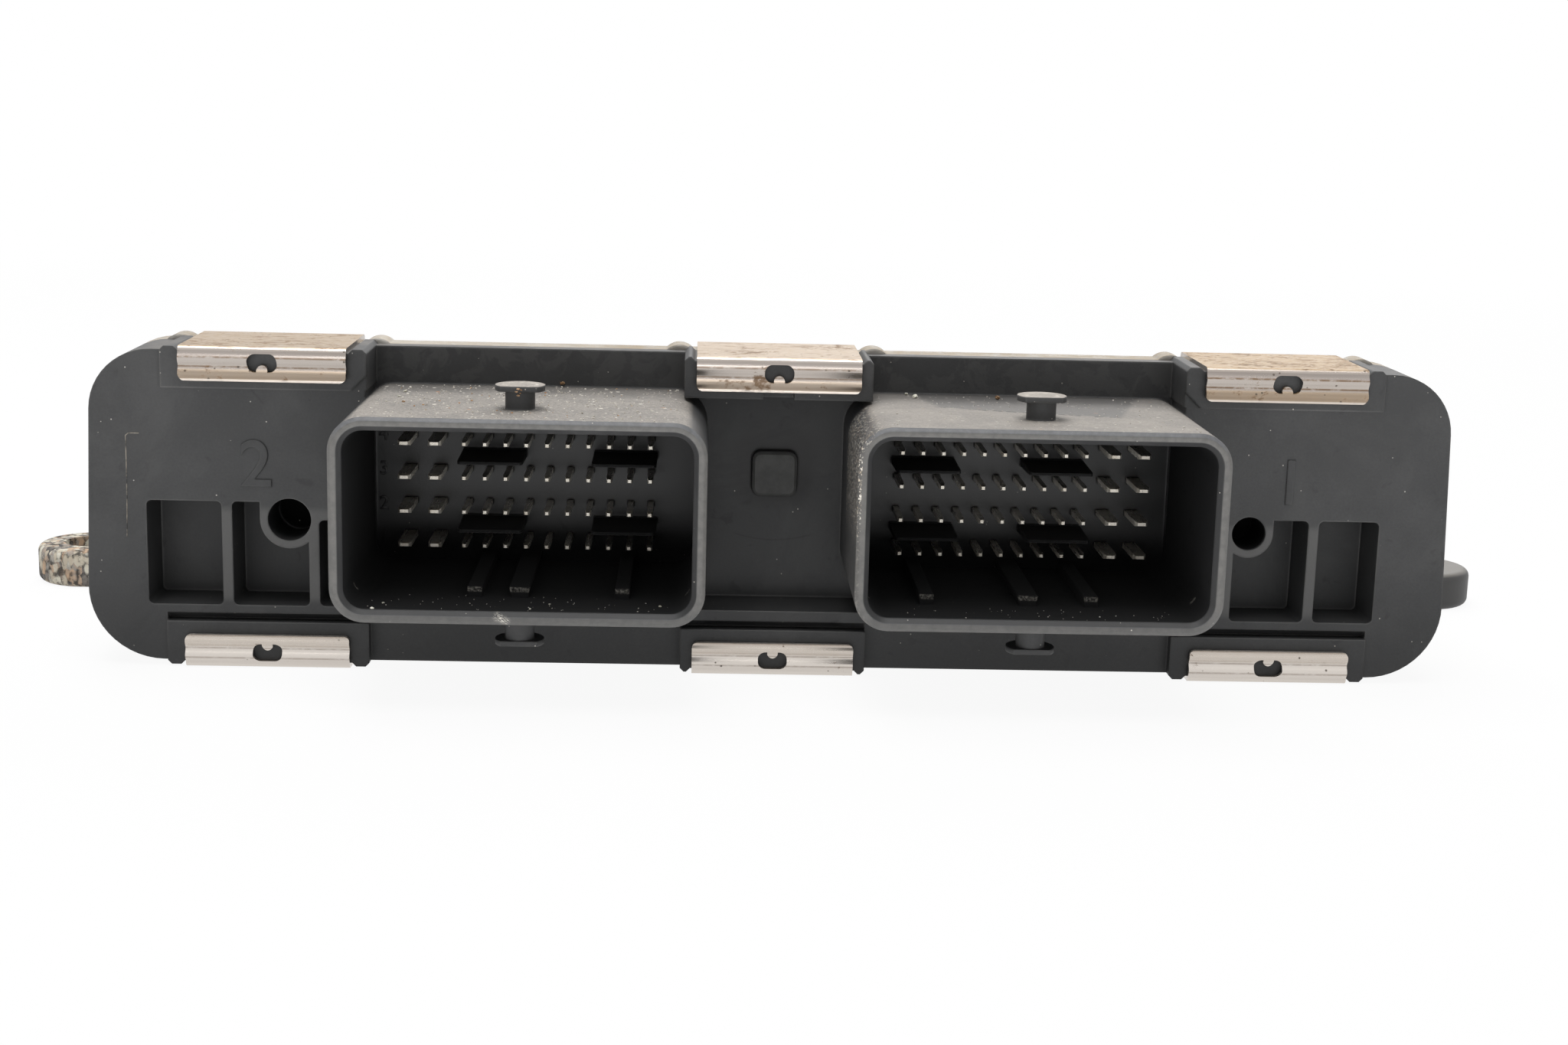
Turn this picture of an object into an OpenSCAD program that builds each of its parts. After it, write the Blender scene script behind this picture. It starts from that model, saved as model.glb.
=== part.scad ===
// Engine control unit: a die-cast can closed at the front by a moulded connector header.
// The header holds two sockets of 48 pins, and six spring clips clamp it to the can's flange.
// Millimetres. X runs along the header, Y from the sockets to the rear, Z up from the mounting plane.

/* [Header plate] */
// Width of the plate at its bottom edge
plate_w = 160; // [156:0.5:170]
// Width of the plate at its top edge
plate_top_w = 157.6; // [154:0.2:168]
// Height of the plate
plate_h = 36.5; // [36:0.25:42]
// Height of the plate's bottom edge over the mounting plane
plate_lift = 0.7; // [0.65:0.05:1.2]
// Radius of the plate's upper corners
plate_top_r = 7.2; // [4:0.2:8]
// Radius of the plate's lower corners
plate_bottom_r = 8.6; // [5:0.2:9.4]
// Thickness of the wall that carries the sockets
wall_t = 2; // [1.6:0.1:3]
// How far the end blocks stand out from the wall
block_t = 7.6; // [5:0.1:9]
// Distance of the end blocks' inner edge from the middle
block_x = 47.5; // [46:0.1:48]

/* [Sockets] */
// Distance of each socket's centre from the middle
socket_x = 28.55; // [27:0.05:30]
// Height of the sockets' centre over the plate's middle
socket_rise = 2.48; // [1.5:0.01:3]
// Width of a socket's shroud
shroud_w = 40.8; // [39:0.1:42]
// Height of a socket's shroud
shroud_h = 22.65; // [22:0.05:23]
// Corner radius of a shroud
shroud_r = 3.8; // [2.5:0.1:5]
// Wall of a shroud
shroud_wall = 1.5; // [1.2:0.05:2]
// Length of a shroud in front of the wall
shroud_len = 26.4; // [20:0.1:30]
// Bevel on the outside of a shroud's rim
rim_bevel = 0.4; // [0.2:0.05:0.6]
// Lead-in on the inside of a shroud's rim
rim_lead = 0.6; // [0.3:0.05:0.8]

/* [Latch posts] */
// Diameter of a post
post_d = 3.3; // [2.5:0.1:4]
// Diameter of a post's head
head_d = 5.5; // [4.5:0.1:7]
// Thickness of a post's head
head_t = 0.6; // [0.4:0.05:1]
// Distance of the flat on a post's head from the post's axis
head_flat = 1.85; // [1.8:0.05:2.2]
// Height of an upper post with its head
post_h = 2.7; // [2:0.1:3]
// Height of a lower post with its head
post_low_h = 4.05; // [3:0.05:4.5]
// Distance of the posts from their socket's centre, outwards
post_side = 0.4; // [0:0.05:1]
// Distance of a post's axis behind the rim
post_y = 8.4; // [5:0.1:15]

/* [Pins] */
// Side of a signal pin
signal_size = 0.64; // [0.5:0.01:0.8]
// Width of a power blade
power_w = 1.5; // [1.2:0.05:1.8]
// Distance between signal pins in a row
signal_pitch = 2.4; // [2.2:0.02:2.5]
// Distance between the power blades in a row
power_pitch = 3.5; // [3:0.05:3.8]
// Distance from the last signal pin to the first power blade
power_gap = 3.45; // [3:0.05:3.6]
// Distance between the rows in a socket
row_pitch = 4; // [3.5:0.05:4.2]
// Distance between the rows on the board
board_row_pitch = 2.5; // [2.2:0.1:3]
// Free length of the pins in a socket
pin_len = 7.1; // [5:0.1:9]
// Length of a pin's tapered tip
tip_len = 0.6; // [0.3:0.05:1]
// Width left at a signal pin's tip
signal_tip = 0.36; // [0.2:0.02:0.5]
// Width left at a power blade's tip
power_tip = 0.95; // [0.6:0.05:1.1]
// Room between a pin and its hole in the wall
pin_fit = 0.02; // [0.01:0.01:0.05]
// Distance of the innermost pins from the socket's centre
pin_side = 13.85; // [13.5:0.05:14.2]
// How far the pin field lies under the socket's centre
pin_drop = 0.65; // [0:0.05:1]

/* [Blades and keys] */
// How far the guard blades reach in front of the pin tips
blade_lead = 1.2; // [0.5:0.1:2]
// Thickness of a guard blade at its root
blade_root = 0.9; // [0.6:0.05:1.2]
// Thickness of a guard blade at its front edge
blade_edge = 0.35; // [0.2:0.05:0.5]
// Width of a guard blade
blade_w = 7.5; // [6:0.1:8]
// How far a guard blade reaches past the last pin of its row
blade_margin = 0.7; // [0.4:0.05:1]
// Bevel at a guard blade's front corners
blade_corner = 0.3; // [0.1:0.05:0.6]
// Height of the coding keys
key_h = 1.15; // [0.8:0.05:1.4]
// Distance of the keys' front ends behind the rim
key_y = 7; // [5:0.1:14]
// Width of the outer coding keys
key_w = 1.6; // [1.2:0.1:2]
// Width of the middle coding key at its foot
key_mid_w = 1.8; // [1.4:0.1:2.4]
// Width of the middle coding key at its top
key_mid_top = 2.3; // [1.4:0.1:3]
// Distance of the inner coding keys from the socket's centre
key_inner = 11.15; // [8:0.05:14]
// Distance of the middle coding keys from the socket's centre
key_mid = 0.3; // [0:0.05:2]
// Distance of the left socket's outer coding key from the socket's centre
key_left = 5.3; // [4:0.05:12]
// Distance of the right socket's outer coding key from the socket's centre
key_right = 7.5; // [4:0.05:12]
// How far the right socket's keys lie nearer to the middle than the left socket's
key_shift = 0.6; // [0:0.05:1]

/* [End pockets] */
// Depth of the pockets
pocket_depth = 7; // [3:0.1:8]
// Height of the pockets' lower edge over the plate's bottom edge
pocket_z = 6.65; // [6.2:0.05:8]
// Height of the pockets
pocket_h = 12.3; // [10:0.1:13]
// Width of the left outer pocket
pocket_left_w = 8.6; // [5:0.1:9]
// Width of the right outer pocket
pocket_right_w = 7.2; // [5:0.1:9]
// Radius of the pockets' corners
pocket_r = 0.6; // [0.2:0.05:1]
// Rib between two pockets
pocket_rib = 1.2; // [0.8:0.05:2]
// How far the middle pocket reaches past the blind hole's wall
pocket_reach = 3.2; // [2:0.1:4]
// Diameter of the left blind hole, which the pockets on both sides are set out from
blind_d = 5; // [4:0.1:5.4]
// Diameter of the right blind hole
blind_right_d = 4; // [3:0.1:5]
// How much higher the right blind hole lies
blind_right_lift = 0.4; // [0:0.05:0.6]
// Wall round the blind holes
blind_wall = 0.9; // [0.6:0.05:1.2]
// Distance of the blind holes from the end blocks' inner edge
blind_side = 8.9; // [8:0.1:10]
// Height of the blind holes over the plate's bottom edge
blind_z = 16.9; // [16:0.1:18]

/* [Clips] */
// Width of a clip
clip_w = 19; // [15:0.1:20]
// Thickness of a clip's sheet
clip_t = 0.6; // [0.4:0.05:0.6]
// Length of a clip's front leg under its seat
clip_leg = 3.35; // [3:0.05:4]
// Length of a clip's hook behind the flange
clip_hook = 2.3; // [1.5:0.1:2.6]
// Depth of the two beads in a clip's front leg
clip_bead = 0.35; // [0.1:0.05:0.5]
// Flare of a clip's free edge
clip_flare = 0.4; // [0.1:0.05:0.6]
// Distance of the outer clips from the plate's sides
clip_side = 21; // [20:0.1:22]
// Width of the window in a clip
window_w = 3.4; // [2.5:0.1:5]
// Height of the window in a clip
window_h = 2.1; // [1.6:0.1:2.4]
// Distance of the window from the clip's seat
window_drop = 0.2; // [0.1:0.05:0.4]
// Radius of the window's corners as a share of its height
window_round = 0.44; // [0.2:0.01:0.48]
// Width of the tongue in the window
tongue_w = 1.25; // [0.8:0.05:1.4]
// Height of the tongue in the window
tongue_h = 0.8; // [0.7:0.05:1.2]
// Radius of a clip's free corners
clip_r = 0.7; // [0.3:0.05:1]

/* [Clip pads] */
// Width of the lugs beside an outer clip
lug_w = 2; // [1.4:0.1:2.4]
// Width of the lugs beside a middle clip
lug_mid_w = 1.2; // [1:0.1:2]
// Height of the upper pads
pad_top_h = 4.3; // [4:0.05:4.4]
// Height of the lower pads
pad_bottom_h = 4.75; // [4:0.05:5]
// How far the pads stand out from the end blocks
pad_rise = 0.5; // [0.3:0.05:1]
// Bevel at the inner corner of the outer upper pads
pad_bevel = 1.8; // [1:0.1:2.5]
// How far the lugs beside a clip stand past the plate's edge
lug_rise = 0.45; // [0.2:0.05:0.6]
// Room between a clip and the lugs at its sides
clip_room = 0.2; // [0.1:0.05:0.4]
// Height of the groove over a lower pad
groove_h = 0.95; // [0.5:0.05:1.2]
// Depth of the groove
groove_depth = 1.5; // [0.5:0.1:3]
// Height of the rib over the middle groove
centre_rib_h = 1.26; // [0.6:0.02:1.6]
// How far the ledge under the sockets lies behind the end blocks' face
ledge_back = 0.9; // [0.5:0.1:3]
// Width of the notch in the upper middle pad
notch_w = 3.6; // [2:0.1:6]
// Height of the notch in the upper middle pad
notch_h = 1; // [0.5:0.1:1.5]
// Depth of the notch in the upper middle pad
notch_depth = 2; // [1:0.1:3]

/* [Vent] */
// Side of the vent membrane
vent_w = 5.3; // [4:0.1:6]
// Depth of the recess that the vent membrane sits in
vent_t = 0.5; // [0.3:0.05:0.7]
// Radius of the vent membrane's corners
vent_r = 1; // [0.4:0.1:1.6]
// How far the vent membrane stands out from the wall
vent_rise = 1.2; // [0.6:0.05:2]
// Bevel round the vent membrane's front
vent_bevel = 0.3; // [0.1:0.05:0.35]
// Room round the vent membrane in its recess
vent_room = 0.1; // [0.05:0.05:0.4]
// Height of the vent over the plate's bottom edge
vent_z = 22.2; // [18:0.1:26]
// Diameter of the breathing hole
vent_d = 2.2; // [1:0.1:3]

/* [Can] */
// Thickness of the can's flange
flange_t = 3.5; // [3:0.1:5]
// How far the can's sides lie inside the plate's sides
can_side = 4; // [3.5:0.1:4.5]
// Width of the bumps on the flange beside the upper clips
bump_w = 3; // [2:0.1:4]
// Height of the bumps on the flange
bump_h = 0.6; // [0.3:0.05:0.6]
// Distance of the bumps from a clip's side edges
bump_side = 2.1; // [1.6:0.1:3]
// Length of the can behind its flange
can_len = 72.1; // [70:0.1:90]
// How far the can's roof lies under the plate's top edge at the flange
can_drop = 5.2; // [4.4:0.1:6]
// Height of the can's roof at the rear, over the mounting plane
can_back_h = 26.5; // [26:0.1:30]
// How much narrower each side of the can is at the rear
can_draft = 1.5; // [0.5:0.1:2]
// Wall of the can
can_wall = 2.5; // [2.2:0.05:2.8]
// Radius of the can's long edges
can_r = 4.5; // [4:0.1:5]
// Radius of the can's rear edges
can_back_r = 3.6; // [3:0.1:3.8]
// Height of the can's floor over the mounting plane next to the flange
neck_lift = 3.5; // [3.4:0.05:3.7]
// Length of the raised floor behind the flange
neck_len = 5; // [3:0.1:8]
// Number of cooling ribs on the roof
rib_count = 13; // [5:2:17]
// Height of the cooling ribs
rib_h = 1.5; // [0.5:0.1:2]
// Width of the cooling ribs
rib_w = 1.8; // [1:0.1:3]
// Distance of the outermost cooling ribs from the can's sides
rib_side = 12; // [8:0.5:16]
// Distance of the cooling ribs from the flange
rib_front = 8; // [5:0.5:14]
// Distance of the cooling ribs from the rear
rib_back = 7.6; // [6:0.2:14]

/* [Mounting ears] */
// Distance of the ears' holes from the plate's sides
ear_reach = 11.5; // [10:0.1:16]
// Distance of the ears' holes behind the flange
ear_y = 31.4; // [20:0.1:45]
// Thickness of the ears
ear_t = 5; // [4:0.1:7]
// Radius of the ears' round ends
ear_r = 6.75; // [6:0.05:8]
// Radius of the ears' upper and lower edges
ear_edge_r = 1; // [0.5:0.1:1.5]
// Diameter of the ears' holes
ear_hole_d = 6.5; // [5:0.1:7]
// How far the ears reach in under the can's floor
ear_root = 8; // [5:0.5:10]

/* [Seal] */
// Width of the sealing ring
seal_w = 2; // [1.5:0.1:2.2]
// Thickness of the sealing ring
seal_t = 1.6; // [1:0.1:2]
// Distance of the seal's groove from the can's mouth
seal_gap = 1.6; // [1.2:0.1:1.8]
// Room at each side of the sealing ring in its groove
seal_room = 0.1; // [0.05:0.05:0.2]

/* [Board] */
// Room between the board's edges and the can's wall at the rear
board_side = 2; // [1:0.1:3]
// Thickness of the circuit board
board_t = 1.6; // [1.2:0.1:2]
// Room between the board's rear edge and the can's wall
board_end = 5.6; // [3:0.1:8]
// Room between the board screws' heads and the raised floor
board_under = 0.6; // [0.4:0.1:1.2]
// Room between the board and the header in front of it
board_room = 1.5; // [1:0.1:2]
// Length of the pins under the board
tail_len = 1; // [0.5:0.1:1.2]
// Distance of the first row's bend behind the header
first_bend = 4; // [3:0.1:4.5]
// Room round the corners of the pins in the board
hole_room = 0.1; // [0.05:0.05:0.2]
// Room round the board's edges in the can's rails
rail_room = 0.15; // [0.1:0.05:0.3]
// Width of the rails under and over the board's edge
rail_w = 2.5; // [2:0.1:3]
// Height of the rails over the board's edge
rail_t = 2; // [1:0.1:3]
// Distance of the rails behind the raised floor
rail_start = 4; // [2:0.5:8]
// Diameter of the board screws
screw_d = 2.9; // [2.5:0.1:3]
// Depth of the board screws in the header's arms
screw_len = 6; // [4:0.1:8]
// Diameter of the board screws' heads
screw_head_d = 5.4; // [5:0.1:6]
// Height of the board screws' heads
screw_head_t = 1.8; // [1:0.1:2]
// Room round the board screws in the header's arms
screw_fit = 0.1; // [0.05:0.05:0.2]
// Room round the board screws in the board
screw_room = 0.3; // [0.1:0.05:0.6]
// Distance of the header's arms from the board's side edges
arm_side = 7; // [6.8:0.1:10]
// Width of the header's arms
arm_w = 8; // [7:0.1:8.4]
// Length of the header's arms
arm_len = 12; // [10:0.1:13]
// Height of the header's arms over the screws' bores
arm_cap = 1; // [0.6:0.1:3]
// Thickness of the gap pads under the board
gap_pad_t = 1; // [0.6:0.1:1.5]
// How far the gap pads stay inside the raised floor's edges
gap_pad_inset = 0.5; // [0.2:0.1:2]

/* [Board parts] */
// Distance of the power stages from the board's side edges
stage_side = 23; // [22:0.5:26]
// Distance of the power stages from the board's rear edge
stage_end = 23.9; // [22:0.1:26]
// Width of the raised floor under a power stage
stage_w = 30; // [24:0.5:34]
// Length of the raised floor under a power stage
stage_len = 34; // [28:0.5:36]
// Bevel on the top edges of the chips
chip_bevel = 0.3; // [0.1:0.05:0.4]
// Side of the microcontroller
micro_w = 24; // [18:0.5:26]
// Height of the microcontroller
micro_h = 1.7; // [1:0.1:3]
// Distance of the microcontroller behind the board's front edge
micro_back = 30; // [29:0.1:32]
// Side of the power supply chip
supply_w = 10; // [7:0.5:11]
// Height of the power supply chip
supply_h = 1.2; // [1:0.1:2]
// Distance of the power supply chip from the middle
supply_x = 22; // [20:0.5:24]
// Distance of the power supply chip behind the board's front edge
supply_back = 22; // [20:0.1:26]
// Width of an injector driver
injector_w = 14; // [10:0.5:16]
// Length of an injector driver
injector_l = 12; // [9:0.5:14]
// Height of an injector driver
injector_h = 2.6; // [1.5:0.1:3.5]
// Distance between the injector drivers
injector_pitch = 18; // [15:0.5:20]
// Width of an ignition driver
ignition_w = 6.5; // [5:0.1:7]
// Length of an ignition driver
ignition_l = 6.2; // [5:0.1:8]
// Height of an ignition driver
ignition_h = 2.3; // [1.5:0.1:3]
// Distance between the ignition drivers
ignition_pitch = 7.4; // [7.2:0.1:7.6]
// Distance of the ignition drivers behind the middle of their stage
ignition_back = 10; // [8:0.5:12]
// Width of the throttle driver
throttle_w = 16; // [12:0.5:18]
// Length of the throttle driver
throttle_l = 11; // [8:0.5:12]
// Height of the throttle driver
throttle_h = 3; // [2:0.1:4]
// Distance of the throttle driver in front of the middle of its stage
throttle_front = 5; // [4:0.5:8]
// Width of a bus transceiver
bus_w = 5; // [4:0.1:6]
// Length of a bus transceiver
bus_l = 4; // [3:0.1:5]
// Height of a bus transceiver
bus_h = 1.6; // [1:0.1:2]
// Distance between the bus transceivers
bus_pitch = 12; // [8:0.5:14]
// Distance of the bus transceivers behind the board's front edge
bus_back = 14.1; // [10:0.1:18]
// Side of the pressure sensor
sensor_w = 7; // [5:0.1:9]
// Height of the pressure sensor
sensor_h = 2.6; // [2:0.1:4]
// Diameter of the pressure sensor's port
sensor_port_d = 1.2; // [0.8:0.1:2]
// Depth of the pressure sensor's port
sensor_port_h = 1.6; // [0.5:0.1:1.8]
// Distance of the pressure sensor from the middle
sensor_x = 24; // [20:0.5:26]
// Distance of the pressure sensor from the board's rear edge
sensor_end = 11.9; // [8:0.1:14]
// Width of the clock crystal
crystal_w = 3.4; // [2.8:0.1:5]
// Length of the clock crystal
crystal_l = 6; // [4:0.1:8]
// Height of the clock crystal
crystal_h = 1.3; // [0.8:0.1:3]
// Corner radius of the clock crystal
crystal_r = 1.2; // [0.5:0.1:1.3]
// Distance of the clock crystal from the middle
crystal_x = 18; // [16:0.5:24]
// Diameter of an input capacitor
cap_d = 10; // [8:0.1:10]
// Height of an input capacitor's can
cap_h = 9.4; // [6:0.1:11]
// Side of an input capacitor's foot
cap_foot = 10.4; // [10.2:0.1:11]
// Height of an input capacitor's foot
cap_foot_h = 0.9; // [0.5:0.1:1.5]
// Distance of the first input capacitor from the middle
cap_x = 6; // [5:0.5:8]
// Distance between the input capacitors
cap_pitch = 11.6; // [11.2:0.1:13]
// Distance of the input capacitors from the board's rear edge
cap_end = 9.9; // [8:0.1:11]
// Side of the choke coil
coil_w = 12; // [9:0.5:13]
// Height of the choke coil
coil_h = 6; // [4:0.1:9]
// Corner radius of the choke coil
coil_r = 2.5; // [1:0.1:3]
// Diameter of the hollow in the choke coil's top
coil_top_d = 7; // [4:0.1:8]
// Depth of the hollow in the choke coil's top
coil_top_h = 0.8; // [0.4:0.1:2]
// Distance of the choke coil from the middle
coil_x = 9; // [8:0.5:10]
// Distance of the choke coil from the board's rear edge
coil_end = 8.9; // [8:0.1:10]
// Width of a filter capacitor
filter_w = 1.25; // [0.8:0.05:1.6]
// Length of a filter capacitor
filter_l = 2; // [1.6:0.1:3.2]
// Height of a filter capacitor
filter_h = 1; // [0.6:0.1:1.4]
// Distance of the filter capacitors behind the last row of pins
filter_back = 3; // [2:0.1:5]
// Width of a shunt resistor
shunt_w = 2.4; // [2:0.1:3]
// Length of a shunt resistor
shunt_l = 6.2; // [4:0.1:7]
// Height of a shunt resistor
shunt_h = 0.7; // [0.4:0.1:1]
// Distance between the shunt resistors
shunt_pitch = 8; // [7.2:0.1:9]
// Distance of the shunt resistors from the middle of their stage
shunt_x = 17.8; // [17:0.1:18]

/* [Hidden] */
$fn = 64;

// Overlap of cutters past the faces that they cut
over = 1;
// Overlap of joined solids inside one moulding or casting
bite = 0.5;
// Thickness of the sections that the can's form is drawn through
slice = 0.01;
// How much deeper a screw's bore is than the screw
bore_spare = 1;
// Where the flare of a clip's front leg starts, as a share of its length
flare_from = 0.86;
signal_count = 10;
power_count = 2;
row_count = 4;

// Depth planes from the socket rims to the rear, centred on the overall depth
depth = shroud_len + wall_t + flange_t + can_len;
rim_y = -depth / 2;
wall_y = rim_y + shroud_len;
joint_y = wall_y + wall_t;
neck_y = joint_y + flange_t;
back_y = neck_y + can_len;
face_y = wall_y - block_t;
pad_y = face_y - pad_rise;
tip_y = wall_y - pin_len;

// Height planes
bottom_z = plate_lift;
top_z = plate_lift + plate_h;
socket_mid_z = bottom_z + plate_h / 2 + socket_rise;
pin_mid_z = socket_mid_z - pin_drop;
can_front_h = top_z - can_drop;

// The slope of the plate's sides and of the can's roof
side_angle = atan((plate_w - plate_top_w) / 2 / plate_h);
roof_slope = (can_front_h - can_back_h) / can_len;

// Places along the plate, from its sides or from its end blocks
clip_x = plate_w / 2 - clip_side;
pad_w = clip_w + 2 * (lug_w + clip_room);
pad_mid_w = clip_w + 2 * (lug_mid_w + clip_room);
blind_x = block_x + blind_side;
ear_x = plate_w / 2 + ear_reach;

// The can's mouth in the flange
can_w = plate_w - 2 * can_side;
mouth_w = can_w - 2 * can_wall;
mouth_bottom_z = neck_lift + can_wall;
mouth_top_z = can_front_h - can_wall;
mouth_r = can_r - can_wall;

// The board fills the can between its walls and clears the raised floor with its screws
board_w = can_w - 2 * (can_wall + can_draft + board_side);
board_front_y = joint_y + board_room;
board_back_y = back_y - can_wall - board_end;
board_len = board_back_y - board_front_y;
board_z = mouth_bottom_z + screw_head_t + board_under;
board_top_z = board_z + board_t;
tail_z = board_z - tail_len;
arm_x = board_w / 2 - arm_side;
arm_screw_y = joint_y + arm_len - arm_w / 2;
stage_x = board_w / 2 - stage_side;
stage_back = board_len - stage_end;
stage_y = board_front_y + stage_back;
ignition_count = 4;
shunt_count = 4;

function pin_x(i) = socket_x - pin_side + i * signal_pitch;
function blade_x(i) = pin_x(signal_count - 1) + power_gap + i * power_pitch;
function row_z(r) = pin_mid_z + (r - (row_count - 1) / 2) * row_pitch;
function bend_y(r) = joint_y + first_bend + r * board_row_pitch;
function roof_z(y) = can_front_h - (y - neck_y) * roof_slope;

// A plane figure in X and Z, drawn out along Y from y0 to y1
module along_y(y0, y1) {
  translate([0, y1, 0])
    rotate([90, 0, 0])
      linear_extrude(y1 - y0)
        children();
}

// A plane figure in Y and Z, drawn out along X, centred on x
module along_x(x, length) {
  translate([x - length / 2, 0, 0])
    rotate([90, 0, 90])
      linear_extrude(length)
        children();
}

// A rectangle with round corners, centred
module rounded_rect(w, h, r) {
  square([w, h - 2 * r], center = true);
  square([w - 2 * r, h], center = true);
  for (x = [-1, 1], z = [-1, 1])
    translate([x * (w / 2 - r), z * (h / 2 - r)])
      circle(r);
}

// A slab with round corners that narrows by inset over its thickness
module bevelled_slab(w, h, r, t, inset) {
  for (x = [-1, 1], z = [-1, 1])
    translate([x * (w / 2 - r), z * (h / 2 - r), 0])
      cylinder(h = t, r1 = r, r2 = r - inset);
  rotate([90, 0, 0])
    translate([0, 0, r - h / 2])
      linear_extrude(h - 2 * r)
        polygon([[-w / 2, 0], [w / 2, 0], [w / 2 - inset, t], [inset - w / 2, t]]);
  rotate([90, 0, 90])
    translate([0, 0, r - w / 2])
      linear_extrude(w - 2 * r)
        polygon([[-h / 2, 0], [h / 2, 0], [h / 2 - inset, t], [inset - h / 2, t]]);
}

// A box from two opposite corners
module box(from, to) {
  translate(from)
    cube(to - from);
}

// Both sides of the unit
module both_sides() {
  children();
  mirror([1, 0, 0])
    children();
}

// Turns a figure for the plate's top edge over to its bottom edge
module at_bottom() {
  translate([0, 0, top_z + bottom_z])
    mirror([0, 0, 1])
      children();
}

// The outline that the header plate and the can's flange share
module plate_outline() {
  low_z = bottom_z + plate_bottom_r;
  high_z = top_z - plate_top_r;
  low_x = plate_w / 2 - plate_bottom_r / cos(side_angle) - plate_bottom_r * tan(side_angle);
  high_x = plate_w / 2 - plate_top_r / cos(side_angle) - (plate_h - plate_top_r) * tan(side_angle);
  side = [cos(side_angle), sin(side_angle)];
  low_side = [low_x, low_z] + plate_bottom_r * side;
  high_side = [high_x, high_z] + plate_top_r * side;
  polygon([
    [-low_x, bottom_z], [low_x, bottom_z], low_side, high_side,
    [high_x, top_z], [-high_x, top_z], [-high_side.x, high_side.y], [-low_side.x, low_side.y]
  ]);
  for (s = [-1, 1]) {
    translate([s * low_x, low_z])
      circle(plate_bottom_r);
    translate([s * high_x, high_z])
      circle(plate_top_r);
  }
}

// The plate with its end blocks, cut back to the wall between them
module stepped_plate() {
  difference() {
    along_y(face_y, joint_y)
      plate_outline();
    box([-block_x, face_y - over, bottom_z - over], [block_x, wall_y, top_z + over]);
  }
}

// The seat of one clip at the plate's top edge, w wide and h high, with a lug of width lug at each side of it
module clip_pad(w, h, lug) {
  box([-w / 2, pad_y, top_z - h], [w / 2, wall_y + bite, top_z]);
  for (s = [-1, 1])
    translate([s * (w - lug) / 2, 0, 0])
      along_y(pad_y, joint_y)
        translate([0, top_z - bite])
          polygon([
            [-lug / 2, 0], [lug / 2, 0], [lug / 2, bite], [lug / 2 - lug_rise, bite + lug_rise],
            [lug_rise - lug / 2, bite + lug_rise], [-lug / 2, bite]
          ]);
}

// The bevel at the inner corner of an outer clip's pad
module pad_corner_cut(h) {
  edge = clip_x - pad_w / 2;
  low = top_z - h;
  along_y(pad_y - over, face_y)
    polygon([
      [edge - over, low - over], [edge + pad_bevel, low - over], [edge + pad_bevel, low],
      [edge, low + pad_bevel], [edge - over, low + pad_bevel]
    ]);
}

// The solid outer form of a shroud
module shroud_body() {
  translate([socket_x, 0, socket_mid_z]) {
    along_y(rim_y + rim_bevel, wall_y + bite)
      rounded_rect(shroud_w, shroud_h, shroud_r);
    translate([0, rim_y + rim_bevel, 0])
      rotate([90, 0, 0])
        bevelled_slab(shroud_w, shroud_h, shroud_r, rim_bevel, rim_bevel);
  }
}

// The room in a shroud, with the lead-in at its rim
module shroud_room() {
  room_w = shroud_w - 2 * shroud_wall;
  room_h = shroud_h - 2 * shroud_wall;
  room_r = shroud_r - shroud_wall;
  translate([socket_x, 0, socket_mid_z]) {
    along_y(rim_y - over, wall_y)
      rounded_rect(room_w, room_h, room_r);
    translate([0, rim_y, 0])
      rotate([-90, 0, 0])
        bevelled_slab(room_w + 2 * rim_lead, room_h + 2 * rim_lead, room_r + rim_lead, rim_lead, rim_lead);
  }
}

// A post of height h with a flat-fronted head on a shroud, for the plug's lever
module latch_post(h) {
  translate([socket_x + post_side, rim_y + post_y, socket_mid_z + shroud_h / 2]) {
    translate([0, 0, -bite])
      cylinder(h = h + bite, d = post_d);
    translate([0, 0, h - head_t])
      difference() {
        cylinder(h = head_t, d = head_d);
        translate([-head_d, -head_flat - head_d, -over])
          cube([2 * head_d, head_d, head_t + 2 * over]);
      }
  }
}

// A thin guard blade between rows r and r + 1, its left edge at x
module guard_blade(x, r) {
  mid_z = (row_z(r) + row_z(r + 1)) / 2;
  left = x;
  right = x + blade_w;
  front = tip_y - blade_lead;
  intersection() {
    along_x((left + right) / 2, right - left)
      polygon([
        [wall_y + bite, mid_z + blade_root / 2], [front, mid_z + blade_edge / 2],
        [front, mid_z - blade_edge / 2], [wall_y + bite, mid_z - blade_root / 2]
      ]);
    translate([0, 0, mid_z - blade_root])
      linear_extrude(2 * blade_root)
        polygon([
          [left, joint_y], [left, front + 2 * blade_corner], [left + blade_corner, front],
          [right - blade_corner, front], [right, front + 2 * blade_corner], [right, joint_y]
        ]);
  }
}

// A coding key on the floor of a shroud, w wide at its foot and top_w at its top, x from the socket's centre
module coding_key(x, w, top_w) {
  floor_z = socket_mid_z - shroud_h / 2 + shroud_wall;
  translate([socket_x + x, 0, floor_z])
    along_y(rim_y + key_y, wall_y + bite)
      polygon([
        [-w / 2, -bite], [w / 2, -bite], [w / 2, 0],
        [top_w / 2, key_h], [-top_w / 2, key_h], [-w / 2, 0]
      ]);
}

// What stands inside a shroud apart from the pins, with its keys moved inwards by shift
module shroud_inside(key_outer, shift) {
  for (r = [0, 2]) {
    guard_blade(pin_x(0) - blade_margin, r);
    guard_blade(pin_x(signal_count - 1) + blade_margin - blade_w, r);
  }
  coding_key(-key_inner - shift, key_w, key_w);
  coding_key(key_mid - shift, key_mid_w, key_mid_top);
  coding_key(key_outer - shift, key_w, key_w);
}

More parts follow.
